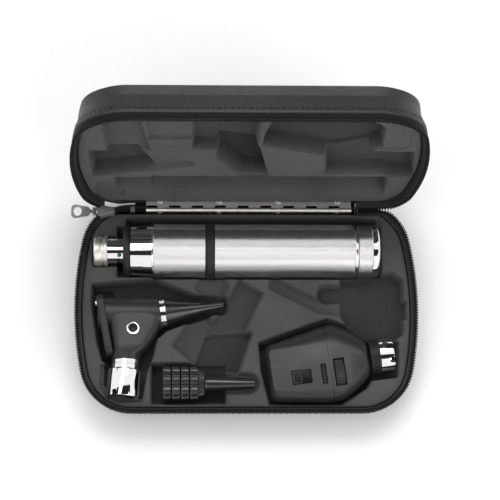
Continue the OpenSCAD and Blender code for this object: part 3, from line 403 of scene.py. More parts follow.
def eased(profile, r, steps=3):
    """The profile with its inner corners rounded: each corner becomes a quadratic curve that
    leaves and rejoins its sides r away, (1-t)^2 a + 2 t (1-t) corner + t^2 b."""
    p = np.array(profile, float)
    out = [p[:1]]
    t = np.linspace(0, 1, steps + 1)[:, None]
    for k in range(1, len(p) - 1):
        back, ahead = p[k - 1] - p[k], p[k + 1] - p[k]
        lb, la = np.linalg.norm(back), np.linalg.norm(ahead)
        a = p[k] + back / lb * min(r, 0.45 * lb)
        b = p[k] + ahead / la * min(r, 0.45 * la)
        out.append((1 - t) ** 2 * a + 2 * t * (1 - t) * p[k] + t ** 2 * b)
    out.append(p[-1:])
    return np.concatenate(out)


def run_of(points):
    """Length along a line of points, at each of them."""
    return np.concatenate([[0], np.cumsum(np.linalg.norm(np.diff(points, axis=0), axis=1))])


def at_length(t, s, points):
    """Plan points at the lengths t of a line whose own points lie at the lengths s."""
    return np.stack([np.interp(t, s, points[:, k]) for k in range(2)], -1)


def winding(loop):
    """1 for a plan loop that runs counterclockwise, -1 for one that runs clockwise."""
    return np.sign(np.sum(loop[:, 0] * np.roll(loop[:, 1], -1)
                          - np.roll(loop[:, 0], -1) * loop[:, 1]))


def turned(profile, origin, axis, cells=(60, 1.0), segments=96, ripple=None, closed=False,
           notch=None):
    """Profile (x, r) carried round an axis: P = origin + x axis + r (cos a e1 + sin a e2).

    cells is the pattern's count round the piece and its pitch along it in millimetres.
    ripple (count, depth, lowest r) presses count hollows of depth into it beyond lowest r.
    notch (angles, half width, depth) draws the far end back at these angles.
    """
    p = np.array(profile, float)
    axis = np.array(axis, float) / np.linalg.norm(axis)
    e1 = np.array([0, 0, 1.0]) if abs(axis[2]) < 0.9 else np.array([1.0, 0, 0])
    e2 = np.cross(axis, e1)
    a = np.linspace(0, 2 * math.pi, segments, endpoint=False)
    x = np.repeat(p[:, 0][:, None], segments, 1)
    r = np.repeat(p[:, 1][:, None], segments, 1)
    if ripple:
        count, depth, low = ripple
        wave = 0.5 + 0.5 * np.cos(a * count)
        r = r - depth * (wave ** 2)[None, :] * (r > low)
    if notch:
        angles, half, depth = notch
        away = np.min([np.abs((a - b + math.pi) % (2 * math.pi) - math.pi) for b in angles], 0)
        cut = np.where(away < half, depth, 0.0)[None, :]
        x = np.minimum(x, x.max() - cut)
    points = (np.array(origin, float) + x[..., None] * axis
              + r[..., None] * (np.cos(a)[:, None] * e1 + np.sin(a)[:, None] * e2))
    along = run_of(p)
    if closed:
        along = np.append(along, along[-1])
    u, v = np.meshgrid(along / cells[1], np.linspace(0, cells[0], segments + 1), indexing="ij")
    return grid(points, np.stack([u, v], 2), wrap_rows=closed, wrap_cols=True)


def lathe(name, profile, origin, axis, body, finish, instead, **more):
    """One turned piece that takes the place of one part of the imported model."""
    put(name, [turned(profile, origin, axis, **more)], body, finish, instead=[instead])


def smooth_loop(points, radius, n):
    """A closed polygon with its corners cut to quadratic curves, resampled to n even points."""
    p = np.array(points, float)
    q = np.concatenate([p[-1:], p, p[:1]])
    ring = eased(q, radius, 6)[1:-1]
    ring = np.concatenate([ring, ring[:1]])
    s = run_of(ring)
    return at_length(np.linspace(0, s[-1], n, endpoint=False), s, ring)


def slab(loop, z0, z1, edge, place_at, hole=None):
    """A plan loop carried up its rounded edges: inset edge (1 - sin b), height edge (1 - cos b).

    place_at maps (n, 3) local points to the frame; hole is an inner loop of as many points.
    """
    lo = np.roll(loop, 1, 0)
    hi = np.roll(loop, -1, 0)
    t = hi - lo
    normal = np.stack([t[:, 1], -t[:, 0]], 1) / np.linalg.norm(t, axis=1)[:, None]
    normal *= -winding(loop)
    b = np.linspace(0, math.pi / 2, 5)
    levels = [(edge * (1 - math.sin(x)), z0 + edge * (1 - math.cos(x))) for x in b]
    levels += [(i, z0 + z1 - z) for i, z in levels[::-1]]
    rows = [np.column_stack([loop + normal * i, np.full(len(loop), z)]) for i, z in levels]
    caps = (0, -1)
    if hole is not None:
        ends = [np.column_stack([hole, np.full(len(hole), z)]) for z in (z0, z1)]
        rows = [ends[0]] + rows + [ends[1]]
        caps = ()
    pts = np.array(rows)
    points = place_at(pts.reshape(-1, 3)).reshape(pts.shape)
    return grid(points, None, wrap_rows=hole is not None, wrap_cols=True, end_caps=caps)


def to_lid(points):
    """Half frame to the open lid: mirrored in the split plane and turned back about the pin."""
    a = math.radians(-LID_OPEN)
    y, z = points[..., 1] - HINGE_Y, HALF_H - points[..., 2]
    return np.stack([points[..., 0], y * math.cos(a) - z * math.sin(a) + HINGE_Y,
                     y * math.sin(a) + z * math.cos(a) + HALF_H], -1)


def as_is(points):
    return points


def moved_to(at):
    """Maps local points to a frame that lies at this point, unturned."""
    return lambda points: points + at


def turned_frame(origin, tilt):
    """Maps local points to the frame of an instrument that lies turned by tilt in plan."""
    c, s = math.cos(math.radians(tilt)), math.sin(math.radians(tilt))
    turn = np.array([[c, s, 0], [-s, c, 0], [0, 0, 1]])

    def place_at(points):
        return np.asarray(points, float) @ turn + np.asarray(origin, float)
    return place_at


# Case halves

CORNER_Y = CASE_D / 2 - CORNER_R
SIDE_X = CASE_W / 2 - SIDE_R
CORNER_X = SIDE_X + math.sqrt((SIDE_R - CORNER_R) ** 2 - CORNER_Y ** 2)
SIDE_A = math.atan2(CORNER_Y, CORNER_X - SIDE_X)


def rim_line():
    """Plan line of the rim and its outward normals: side arcs, corner arcs and straight runs."""
    a = np.linspace(0, SIDE_A, 36, endpoint=False)
    b = np.linspace(SIDE_A, math.pi / 2, 54)
    n = np.concatenate([np.stack([np.cos(a), np.sin(a)], 1), np.stack([np.cos(b), np.sin(b)], 1)])
    p = np.concatenate([n[:36] * SIDE_R + [SIDE_X, 0], n[36:] * CORNER_R + [CORNER_X, CORNER_Y]])
    x = np.linspace(CORNER_X, 0, 60)[1:]
    p = np.concatenate([p, np.stack([x, np.full(59, CASE_D / 2)], 1)])
    n = np.concatenate([n, np.tile([0.0, 1.0], (59, 1))])
    flip_x, flip_y = np.array([-1.0, 1]), np.array([1.0, -1])
    p = np.concatenate([p, (p * flip_x)[-2::-1]])
    n = np.concatenate([n, (n * flip_x)[-2::-1]])
    p = np.concatenate([p, (p * flip_y)[-2:0:-1]])
    n = np.concatenate([n, (n * flip_y)[-2:0:-1]])
    return p, n


RIM, RIM_N = rim_line()


def stop_height(y):
    """Height of the plane where the open lid comes to rest behind the pin, less its gap."""
    a = math.radians(LID_OPEN / 2)
    return HALF_H - (y - HINGE_Y) * math.tan(a) - 0.7 / math.cos(a)


def cover_surface(place_at):
    """Wrapped board half: its section (inset, height) carried along the rim line.

    The section runs up the inner wall, over the soft rim, down the leaning wall with a sewn
    groove, and round the outer edge; rings that shrink to its middle close the outer panel.
    """
    a = np.radians(np.linspace(90, 0, 9))
    section = [(3.15, 3.0), (3.15, 18.9), (2.95, 19.35), (2.6, 19.5), (0.95, 19.5), (0.5, 19.42),
               (0.16, 19.15), (0.02, 18.7), (0.1, 18.0), (0.66, 16.3), (0.82, 16.05),
               (0.82, 15.85), (0.86, 15.6), (2.0, 12.0)]
    section = np.array(section + [(DRAFT + EDGE_R * (1 - math.sin(x)),
                                   EDGE_R * (1 - math.cos(x))) for x in a])
    inset, height = section[:, 0], section[:, 1]
    xy = RIM[None] - RIM_N[None] * inset[:, None, None]
    inner = np.arange(len(section)) < 4
    y = np.where(inner[:, None], np.minimum(xy[..., 1], HINGE_Y + 1.33), xy[..., 1])
    z = np.repeat(height[:, None], len(RIM), 1)
    z = np.where(y > HINGE_Y + 1, np.minimum(z, stop_height(y)), z)
    points = np.stack([xy[..., 0], y, z], 2)
    last = points[-1]
    centre = last.mean(0)
    rings = np.array([centre + (last - centre) * k for k in (0.9, 0.6, 0.3)])
    rings[..., 2] = 0.0
    points = np.concatenate([points, rings])
    return grid(place_at(points), None, wrap_cols=True, end_caps=(0, -1))


def stitches(place_at):
    """Row of stitches in the groove below the rim: small arcs, each a short tapered tube."""
    ring = np.concatenate([RIM, RIM[:1]])
    ring_n = np.concatenate([RIM_N, RIM_N[:1]])
    s = run_of(ring)
    count = int(s[-1] / 3.2)
    mid = (np.arange(count) + 0.5) * s[-1] / count
    u = np.linspace(-0.5, 0.5, 5)
    a = np.linspace(0, 2 * math.pi, 6, endpoint=False)
    t = mid[:, None] + u[None] * 2.1
    p, n = at_length(t, s, ring), at_length(t, s, ring_n)
    r = 0.24 * np.sqrt(np.clip(1.02 - (2 * u) ** 2, 0.02, 1))
    out = -0.74 + 0.26 * (1 - (2 * u) ** 2)
    off = out[None, :, None] + r[None, :, None] * np.cos(a)[None, None, :]
    xy = p[:, :, None, :] + n[:, :, None, :] * off[..., None]
    z = np.broadcast_to(16.0 + r[None, :, None] * np.sin(a)[None, None, :], xy.shape[:3])
    pts = np.concatenate([xy, z[..., None]], -1)
    keep = (p[:, 2, 1] < HINGE_Y - 2) | (stop_height(p[:, 2, 1]) > 17)
    return many(place_at(pts[keep]))


def many(points):
    """The same small tube repeated: points (count, rows, cols, 3), each end closed."""
    count, rows, cols = points.shape[:3]
    faces, _ = quads_of(rows, cols, wrap_cols=True)
    step = (np.arange(count) * rows * cols)[:, None, None]
    faces = (faces[None] + step).reshape(-1, 4)
    first = np.arange(cols)[None] + step[:, :, 0]
    ends = list(first) + list(first + (rows - 1) * cols)
    return points.reshape(-1, 3), faces, np.zeros((faces.size, 2)), ends


# Trays

def rect(x0, y0, x1, y1):
    return [[x0, y0], [x1, y0], [x1, y1], [x0, y1]]


def from_left(points):
    return np.array(points, float) + [LEFT, FRONT]


def from_right(points):
    return np.array(points, float) + [RIGHT, FRONT]


def distance(x, y, loop):
    """Signed distance to a closed polygon, negative inside: nearest edge, even-odd sign."""
    near = np.full(x.shape, 1e9)
    inside = np.zeros(x.shape, bool)
    for (ax, ay), (bx, by) in zip(loop, np.roll(loop, -1, 0)):
        ex, ey = bx - ax, by - ay
        t = np.clip(((x - ax) * ex + (y - ay) * ey) / (ex * ex + ey * ey), 0, 1)
        near = np.minimum(near, np.hypot(x - ax - t * ex, y - ay - t * ey))
        cross = (ay > y) != (by > y)
        with np.errstate(divide="ignore", invalid="ignore"):
            inside ^= cross & (x < ex * (y - ay) / ey + ax)
    return np.where(inside, -near, near)


def capsule(x, y, a, b, r):
    """Signed distance to a straight slot from a to b with round ends of radius r."""
    ex, ey = b[0] - a[0], b[1] - a[1]
    t = np.clip(((x - a[0]) * ex + (y - a[1]) * ey) / (ex * ex + ey * ey), 0, 1)
    return np.hypot(x - a[0] - t * ex, y - a[1] - t * ey) - r


def sink(z, d, floor, wall, start=0.0):
    """Lower z to a pocket's floor where d < start, with a wall that rises smoothly over wall mm:
    z' = min(z, floor + (z - floor) (3 t^2 - 2 t^3))."""
    t = np.clip((d - start) / wall, 0, 1)
    return np.minimum(z, floor + (z - floor) * t * t * (3 - 2 * t))


def trough(z, x, y, axis_z, x0, x1, r, wall=0.9):
    """Round seat along X: floor = axis height - sqrt(r^2 - dy^2), with soft end walls."""
    dy = np.abs(y - HANDLE_Y)
    floor = axis_z - np.sqrt(np.clip(r * r - dy * dy, 0, None))
    d = np.maximum(x0 - x, x - x1)
    side = np.clip((dy - r) / 0.7, 0, 1)
    floor = np.minimum(floor + side * 30, TRAY_Z + 1)
    return sink(z, d, floor, wall)


def handle_seat(z, x, y, axis_z, full):
    z = trough(z, x, y, axis_z, -51.9, 74.9, 15.9)
    z = trough(z, x, y, axis_z, -71.0, -51.5, 14.75)
    z = trough(z, x, y, axis_z, -84.7, -60.0, 8.95)
    if full:
        d = distance(x, y, np.array(rect(-65.3, 31.6, 74.5, 51.0)))
        z = sink(z, d, 18.0, 1.2)
    return z


def scope_seat(z, x, y, floor):
    lean = DRAFT / (TRAY_Z - EDGE_R)
    for f in (floor, 10, 13, 16):
        e = TRAY_IN + lean * (TRAY_Z - f) + 0.5
        loop = from_right([[-86.7, 38.7], [-49.6, 52.3], [-36.4, 47], [-29.8, 42.4],
                           [-26, 40.8], [-26, 19.6], [-28.6, 14.9], [-42.5, e], [-81.1, e],
                           [-85.3, 23.7]])
        z = sink(z, distance(x, y, loop), f, 0.9 if f < 15 else 1.5)
    loop = from_right([[-30, 42.4], [-13.8, 42.8], [-11.4, 38.7], [-11.8, 20.8],
                       [-25.9, 19.2], [-30, 19.2]])
    return sink(z, distance(x, y, loop), floor + 1.6, 1.3)


def sink_loops(z, x, y, place_at, rows):
    """Sink each (loop, depth, wall) in turn; place_at moves its loop to the plan."""
    for loop, depth, wall in rows:
        z = sink(z, distance(x, y, np.asarray(place_at(loop))), TRAY_Z - depth, wall)
    return z


def base_relief(x, y):
    """Height of the base tray over the plan: the flat, lowered by each seat in turn."""
    z = np.full(x.shape, TRAY_Z)
    z = sink_loops(z, x, y, from_left, [
        ([[90.3, 74], [102, 66.9], [88.7, 38.7], [71.9, 46.2], [81.3, 57.6]], 6, 1.8),
        ([[71.9, 43], [95.5, 44], [88.7, 24], [66.5, 27.5]], 9, 2.4),
        ([[54.8, 37.9], [65, 53.7], [73.1, 53.7], [72.5, 43], [64.6, 29]], 5, 2.2)])
    dip = np.hypot(x - LEFT - 75, (y - FRONT - 71) / 0.6) - 8.5
    z = sink(z, dip, TRAY_Z - 3.5, 2.4, -0.6)
    a, b, c = from_right([[-78.2, 72.3], [-53, 59.4], [-40, 58.2]])
    slot = np.minimum(capsule(x, y, a, b, 3.4), capsule(x, y, b, c, 3.7))
    z = sink(z, slot, TRAY_Z - 4.6, 1.8, -1.0)
    z = sink_loops(z, x, y, from_right, [
        ([[-40.9, 75.2], [-13.2, 78.4], [-8.1, 74.5], [-8.6, 44.8], [-12.8, 42.1], [-34.2, 44],
          [-40.6, 53.8]], 9, 1.8)])
    a, b = from_right([[-50, 67.2], [-40, 67.2]])
    z = sink(z, capsule(x, y, a, b, 3.8), TRAY_Z - 9, 1.8)
    z = sink_loops(z, x, y, from_right, [(rect(-9, 53.3, -6, 62.3), 9, 1.2)])
    z = sink_loops(z, x, y, as_is, [(rect(-66, 36, 72.4, 50.2), 13, 1.0)])
    z = handle_seat(z, x, y, HANDLE_Z, True)
    z = sink_loops(z, x, y, from_left, [
        ([[9.6, 71.9], [9.7, 61.3], [13.2, 38.6], [17.2, 31.1], [17.2, 25.5], [39.5, 25.5],
          [42, 32.6], [43.8, 41.9], [49.6, 46.9], [65, 52.9], [81.8, 57.7], [82.8, 62.1],
          [82, 65.2], [65, 65.9], [51.7, 71.2], [42.8, 75]], TRAY_Z - (OTO[2] - 9 - 0.3), 1.5),
        ([[9.6, 70], [9.7, 61.3], [13.2, 38.6], [15.4, 29.8], [22, 29.8], [22, 60], [19, 70]],
         TRAY_Z - 7, 1.2),
        ([[16.6, 26.5], [16.6, 16.5], [19.5, 12], [36.5, 9], [39.5, 26.5]], TRAY_Z - 10.5, 1.1),
        ([[14.9, 26.5], [14.6, 15], [18, 9.3], [23, 7], [36.5, 7], [39.5, 26.5]],
         TRAY_Z - 16.5, 1.3),
        (rect(42.5, 7.4, 81.9, 27.1), TRAY_Z - 8.6, 1.2),
        (rect(42.5, 5.9, 81.9, 27.1), TRAY_Z - 13, 1.4)])
    z = sink(z, capsule(x, y, (-26.6, -42.9), (0.8, -42.9), 5.2), 15.5, 1.4)
    return scope_seat(z, x, y, 8.2)


def lid_relief(x, y):
    """Height of the lid tray over the plan, in the frame of the closed half."""
    z = np.full(x.shape, TRAY_Z)
    z = handle_seat(z, x, y, 2 * HALF_H - HANDLE_Z, False)
    z = sink_loops(z, x, y, from_left, [
        (rect(12.2, 88, 26, 105.5), 2, 1.0),
        ([[11.5, 48], [35, 48], [43, 69], [12, 77.5]], 9, 2.2),
        ([[18.5, 8], [36, 8], [41, 49], [21, 49]], 4, 1.8),
        ([[38, 49], [64, 61], [64, 64.5], [42, 71]], 3, 1.8),
        (rect(42, 7, 66, 31), 2, 1.6), (rect(65.4, 5, 96.4, 42.6), 7, 2.0),
        ([[78.7, 54], [78.5, 38], [97, 42.5], [102.7, 77], [91.6, 77]], 11, 2.4)])
    z = scope_seat(z, x, y, 2 * HALF_H - SCOPE[2] - 11 - 1.6)
    return sink_loops(z, x, y, from_right, [
        ([[-53.7, 47], [-49.2, 36], [-28, 47.5], [-9, 48], [-6, 77.2], [-16.3, 77.2],
          [-21, 73.2], [-51, 73.3]], 8, 2.0)])


def tray_surface(relief_of, place_at):
    """Tray over a grid that fits the rim: x = u half width(y), z = relief(x, y), with a soft
    outer edge z - (e - sqrt(e^2 - (e - d)^2)), closed by a skirt and a floor."""
    columns, soft, r = 340, 1.3, CORNER_R - TRAY_IN
    f = np.linspace(math.pi / 2, math.asin((50 - CORNER_Y) / r), 18, endpoint=False)
    y = np.concatenate([-CORNER_Y - r * np.sin(f), np.arange(-50, HINGE_Y - 1.4, 0.52),
                        [HINGE_Y - 1.25, HINGE_Y - 1.0, HINGE_Y - 0.85]])
    ay = np.abs(y)
    side = SIDE_X + np.sqrt((SIDE_R - TRAY_IN) ** 2 - y * y)
    corner = CORNER_X + np.sqrt(np.clip(r * r - (ay - CORNER_Y) ** 2, 0, None))
    half = np.where(ay < (SIDE_R - TRAY_IN) * math.sin(SIDE_A), side, corner)
    u = np.linspace(-1, 1, columns)
    x = half[:, None] * u[None]
    yy = np.repeat(y[:, None], columns, 1)
    z = relief_of(x, yy)
    e = np.minimum(half[:, None] - np.abs(x), np.minimum(yy + CORNER_Y + r, HINGE_Y - 0.8 - yy))
    e = np.clip(e, 0, soft)
    rise = np.sqrt(np.clip(soft ** 2 - (soft - e) ** 2, 0, None))
    z = np.minimum(z, TRAY_Z - (soft - rise) * 0.8)
    wave = (np.sin(x * 0.21 + 1.3) * np.sin(yy * 0.17 + 0.4) + np.sin(x * 0.53 - yy * 0.41)) * 0.05
    points = np.stack([x, yy, z + wave], 2)
    out = np.pad(points, ((1, 1), (1, 1), (0, 0)), mode="edge")
    edge = np.ones(out.shape[:2], bool)
    edge[1:-1, 1:-1] = False
    out[..., 2] = np.where(edge, 2.6, out[..., 2])
    n = 1 - 3.8 / np.array([CASE_W / 2, CASE_D / 2])
    out[edge, :2] *= n
    # Depth below the tray's face, put in the UV for the flock's painted shade in the pockets.
    deep = np.clip((TRAY_Z - out[..., 2]) / TRAY_Z, 0, 1)
    surface = grid(place_at(out), np.stack([deep, out[..., 0] / CASE_W], 2))
    rows, cols = out.shape[:2]
    at = np.arange(rows * cols).reshape(rows, cols)
    ring = np.concatenate([at[0], at[1:, -1], at[-1, -2::-1], at[-2:0:-1, 0]])
    surface[3].append(ring)
    return surface


# Zip

def rim_run(inset, rear_y, x_left, x_right, step=0.4):
    """Open plan line along the rim from the left end of the hinge line, by the front, to its
    right end, with soft turns into the straight run at rear_y, and its outward normals."""
    p = RIM - RIM_N * inset
    order = np.argsort(np.arctan2(p[:, 0], -p[:, 1]))
    p = p[order]
    y = rear_y - inset
    p = p[p[:, 1] < y]
    line = np.concatenate([[[x_left, y]], p, [[x_right, y]]])
    s = run_of(line)
    fine = at_length(np.arange(0, s[-1], step), s, line)
    k = np.exp(-0.5 * (np.arange(-14, 15) * step / 1.6) ** 2)
    k /= k.sum()
    wide = np.pad(fine, ((14, 14), (0, 0)), mode="edge")
    wide[:14] = 2 * fine[0] - fine[14:0:-1]
    wide[-14:] = 2 * fine[-1] - fine[-2:-16:-1]
    fine = np.stack([np.convolve(wide[:, j], k, "valid") for j in range(2)], 1)
    d = np.gradient(fine, axis=0)
    n = np.stack([d[:, 1], -d[:, 0]], 1) / np.linalg.norm(d, axis=1)[:, None]
    return fine, n


def swept(line, normals, section, place_at):
    """A closed section (offset along the normal, height) carried along a plan line."""
    s = np.array(section, float)
    xy = line[:, None, :] + normals[:, None, :] * s[None, :, :1]
    z = np.broadcast_to(s[None, :, 1], xy.shape[:2])
    pts = np.concatenate([xy, z[..., None]], -1)
    u, v = np.meshgrid(run_of(line), run_of(np.concatenate([s, s[:1]])), indexing="ij")
    return grid(place_at(pts), np.stack([u, v], 2), wrap_cols=True, end_caps=(0, -1))


def teeth_along(line, normals, z, pitch, size, lean):
    """Zip teeth: rounded bars across the line at even steps; each is an 8-sided tapered tube
    with half sizes size = (across, along, up), its ends shifted along the line by lean."""
    s = run_of(line)
    t = np.arange(pitch / 2, s[-1], pitch)
    p, n = at_length(t, s, line), at_length(t, s, normals)
    n /= np.linalg.norm(n, axis=1)[:, None]
    d = np.stack([-n[:, 1], n[:, 0]], 1)
    u = np.array([-1, -0.8, 0, 0.8, 1])
    taper = np.array([0.55, 0.95, 1.0, 0.95, 0.55])
    a = np.linspace(0, 2 * math.pi, 8, endpoint=False)
    across = u[None, :, None] * size[0]
    along = taper[None, :, None] * np.cos(a)[None, None] * size[1] + lean * u[None, :, None]
    up = taper[None, :, None] * np.sin(a)[None, None] * size[2]
    xy = (p[:, None, None] + n[:, None, None] * across[..., None]
          + d[:, None, None] * along[..., None])
    return np.concatenate([xy, np.broadcast_to(z + up, xy.shape[:3])[..., None]], -1)


SLIDER_AT = np.array([-77.8, 53.2, 24.5])
PULL_AT = np.array([-84.5, 53.2, 24.5])
SLIDER_PLAN = smooth_loop([[-4.8, -2.6], [-4.0, -3.2], [-1.2, -3.3], [1.4, -2.2], [4.6, -2.0],
                           [4.8, -1.6], [4.8, 1.6], [4.6, 2.0], [1.4, 2.2], [-1.2, 3.3],
                           [-4.0, 3.2], [-4.8, 2.6]], 1.2, 96)
PULL_PLAN = smooth_loop([[0.2, -0.9], [0.2, 0.9], [-2.3, 1.0], [-2.9, 2.6], [-11.0, 4.0],
                         [-12.6, 2.6], [-12.6, -2.6], [-11.0, -4.0], [-2.9, -2.6],
                         [-2.3, -1.0]], 1.0, 96)


def add_case():
    for side, place_at in (("base", as_is), ("lid", to_lid)):
        put(side + "_cover", [cover_surface(place_at)], side, "cover",
            instead=[side + "_shell"], sharp=50)
        put(side + "_stitches", [stitches(place_at)], side, "spine")
        relief_of = base_relief if side == "base" else lid_relief
        put(side + "_flocked_tray", [tray_surface(relief_of, place_at)], side, "insert",
            instead=[side + "_tray"], sharp=180)
        line, n = rim_run(0.0, HINGE_Y + 0.55, -83.6, 61.3)
        tape = [(-0.5, 19.4), (-0.42, 22.9), (-0.6, 23.1), (-0.95, 23.1), (-1.1, 22.9),
                (-1.1, 19.4)]
        put(side + "_tape", [swept(line, n, tape, place_at)], side, "tape",
            instead=[side + "_zip_tape"], sharp=50)
        line, n = rim_run(1.7, HINGE_Y + 0.4, -81.5, 61.3)
        ledge = [(0.62, 19.6), (0.62, 23.0), (0.45, 23.3), (0.1, 23.42), (-0.45, 23.3),
                 (-0.62, 23.0), (-0.62, 19.6)]
        put(side + "_binding", [swept(line, n, ledge, place_at)], side, "binding",
            sharp=60)
        line, n = rim_run(0.45, HINGE_Y - 0.1, -82.4, 61.0)
        teeth = teeth_along(line, n, 23.45, 1.5, (1.05, 0.55, 0.95), 0.16)
        cord = [(0.3 * math.cos(b), 23.3 + 0.3 * math.sin(b))
                for b in np.linspace(0, 2 * math.pi, 8, endpoint=False)]
        put(side + "_teeth", [many(place_at(teeth)), swept(line, n, cord, place_at)], side,
            "coil", instead=[side + "_zip_teeth"])


def add_zip():
    """Closed chain between slider and hinge, the slider body and its pull."""
    line = np.stack([np.linspace(-74.0, -56.0, 60), np.full(60, HINGE_Y)], 1)
    n = np.tile([0.0, 1.0], (60, 1))
    chain = teeth_along(line, n, HALF_H, 0.72, (0.78, 0.3, 0.7), 0.12)
    tube = [(0.45 * math.cos(b), HALF_H + 0.45 * math.sin(b))
            for b in np.linspace(0, 2 * math.pi, 10, endpoint=False)]
    put("closed_chain", [many(chain), swept(line, n, tube, as_is)], "base", "coil",
        instead=["zip_stub"])

    on_slider = moved_to(SLIDER_AT)
    body = [slab(SLIDER_PLAN, s * 1.68 - 0.63, s * 1.68 + 0.63, 0.45, on_slider)
            for s in (-1, 1)]
    post = smooth_loop(rect(-4.7, -2.0, -1.6, 2.0), 0.8, 48)
    body.append(slab(post, -2.2, 2.2, 0.3, on_slider))
    for s in (-1, 1):
        ear = smooth_loop(rect(-7.5, s * 1.7 - 0.4, -4.4, s * 1.7 + 0.4), 0.3, 32)
        body.append(slab(ear, -1.15, 1.15, 0.3, on_slider))
    body.append(turned([(-1.7, 0), (-1.7, 0.5), (1.7, 0.5), (1.7, 0)], SLIDER_AT + [-6.7, 0, 0],
                       (0, 1, 0), segments=20))
    put("slider_body", body, "base", "zinc", instead=["zip_slider"])

    a = np.linspace(0, 2 * math.pi, len(PULL_PLAN), endpoint=False) * winding(PULL_PLAN)
    a += math.atan2(PULL_PLAN[0, 1], PULL_PLAN[0, 0] + 9.1)
    hole = np.stack([-9.1 + 2.25 * np.cos(a), 2.75 * np.sin(a)], 1)
    tab = slab(PULL_PLAN, -0.55, 0.55, 0.28, moved_to(PULL_AT), hole)
    eye = turned([(-0.9, 0.68), (-0.9, 1.1), (-0.7, 1.3), (0.7, 1.3), (0.9, 1.1), (0.9, 0.68)],
                 PULL_AT, (0, 1, 0), segments=28, closed=True)
    put("pull_tab", [tab, eye], "zip_tab", "zinc", instead=["zip_pull"])


def add_notch_shadow_plates():
    """Near-black painted shade on the floors of the notches in the lid's leaf, one beside every
    second knuckle.
    """
    step = (HINGE_X1 - HINGE_X0) / KNUCKLES

    def on_leaf(points):
        half = np.stack([points[..., 0], HINGE_Y + 0.55 - points[..., 2],
                         HALF_H - points[..., 1]], -1)
        return to_lid(half)
    plates = []
    for k in range(0, KNUCKLES, 2):
        x = HINGE_X0 + k * step
        plan = smooth_loop(rect(x + 0.15, 1.35, x + step - 0.15, 2.9), 0.2, 24)
        plates.append(slab(plan, -0.02, 0.05, 0.02, on_leaf))
    put("leaf_notch_shadow_plates", plates, "lid", "window")


def add_spine():
    """Folded vinyl strip behind the pin: two leaves between the stop faces, 7.7 to 2.8 mm from
    the pin and 0.42 mm off the middle plane, joined by a round fold near the pin."""
    a = math.radians(LID_OPEN / 2)
    t = np.linspace(0, 1, 15)
    b = np.linspace(-math.pi / 2, math.pi / 2, 9)[1:-1]
    r = np.concatenate([7.7 - 4.9 * t, 2.8 - 0.42 * np.cos(b), 2.8 + 4.9 * t])
    g = np.concatenate([np.full(15, -0.42), 0.42 * np.sin(b), np.full(15, 0.42)])
    y = HINGE_Y + r * math.cos(a) + g * math.sin(a)
    z = HALF_H - r * math.sin(a) + g * math.cos(a)
    path = np.stack([y, z], 1)
    d = np.gradient(path, axis=0)
    side = np.stack([d[:, 1], -d[:, 0]], 1) / np.linalg.norm(d, axis=1)[:, None] * 0.14
    section = np.concatenate([path + side, (path - side)[::-1]])
    x = np.linspace(-CORNER_X + 1, CORNER_X - 1, 64)
    pts = np.concatenate([np.broadcast_to(x[:, None, None], (64, len(section), 1)),
                          np.broadcast_to(section[None], (64, len(section), 2))], 2)
    strip = put("spine_strip", [grid(pts, None, wrap_cols=True, end_caps=(0, -1))], None,
                "spine", instead=["spine_cover"])
    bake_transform(strip)
    return strip


# Power handle

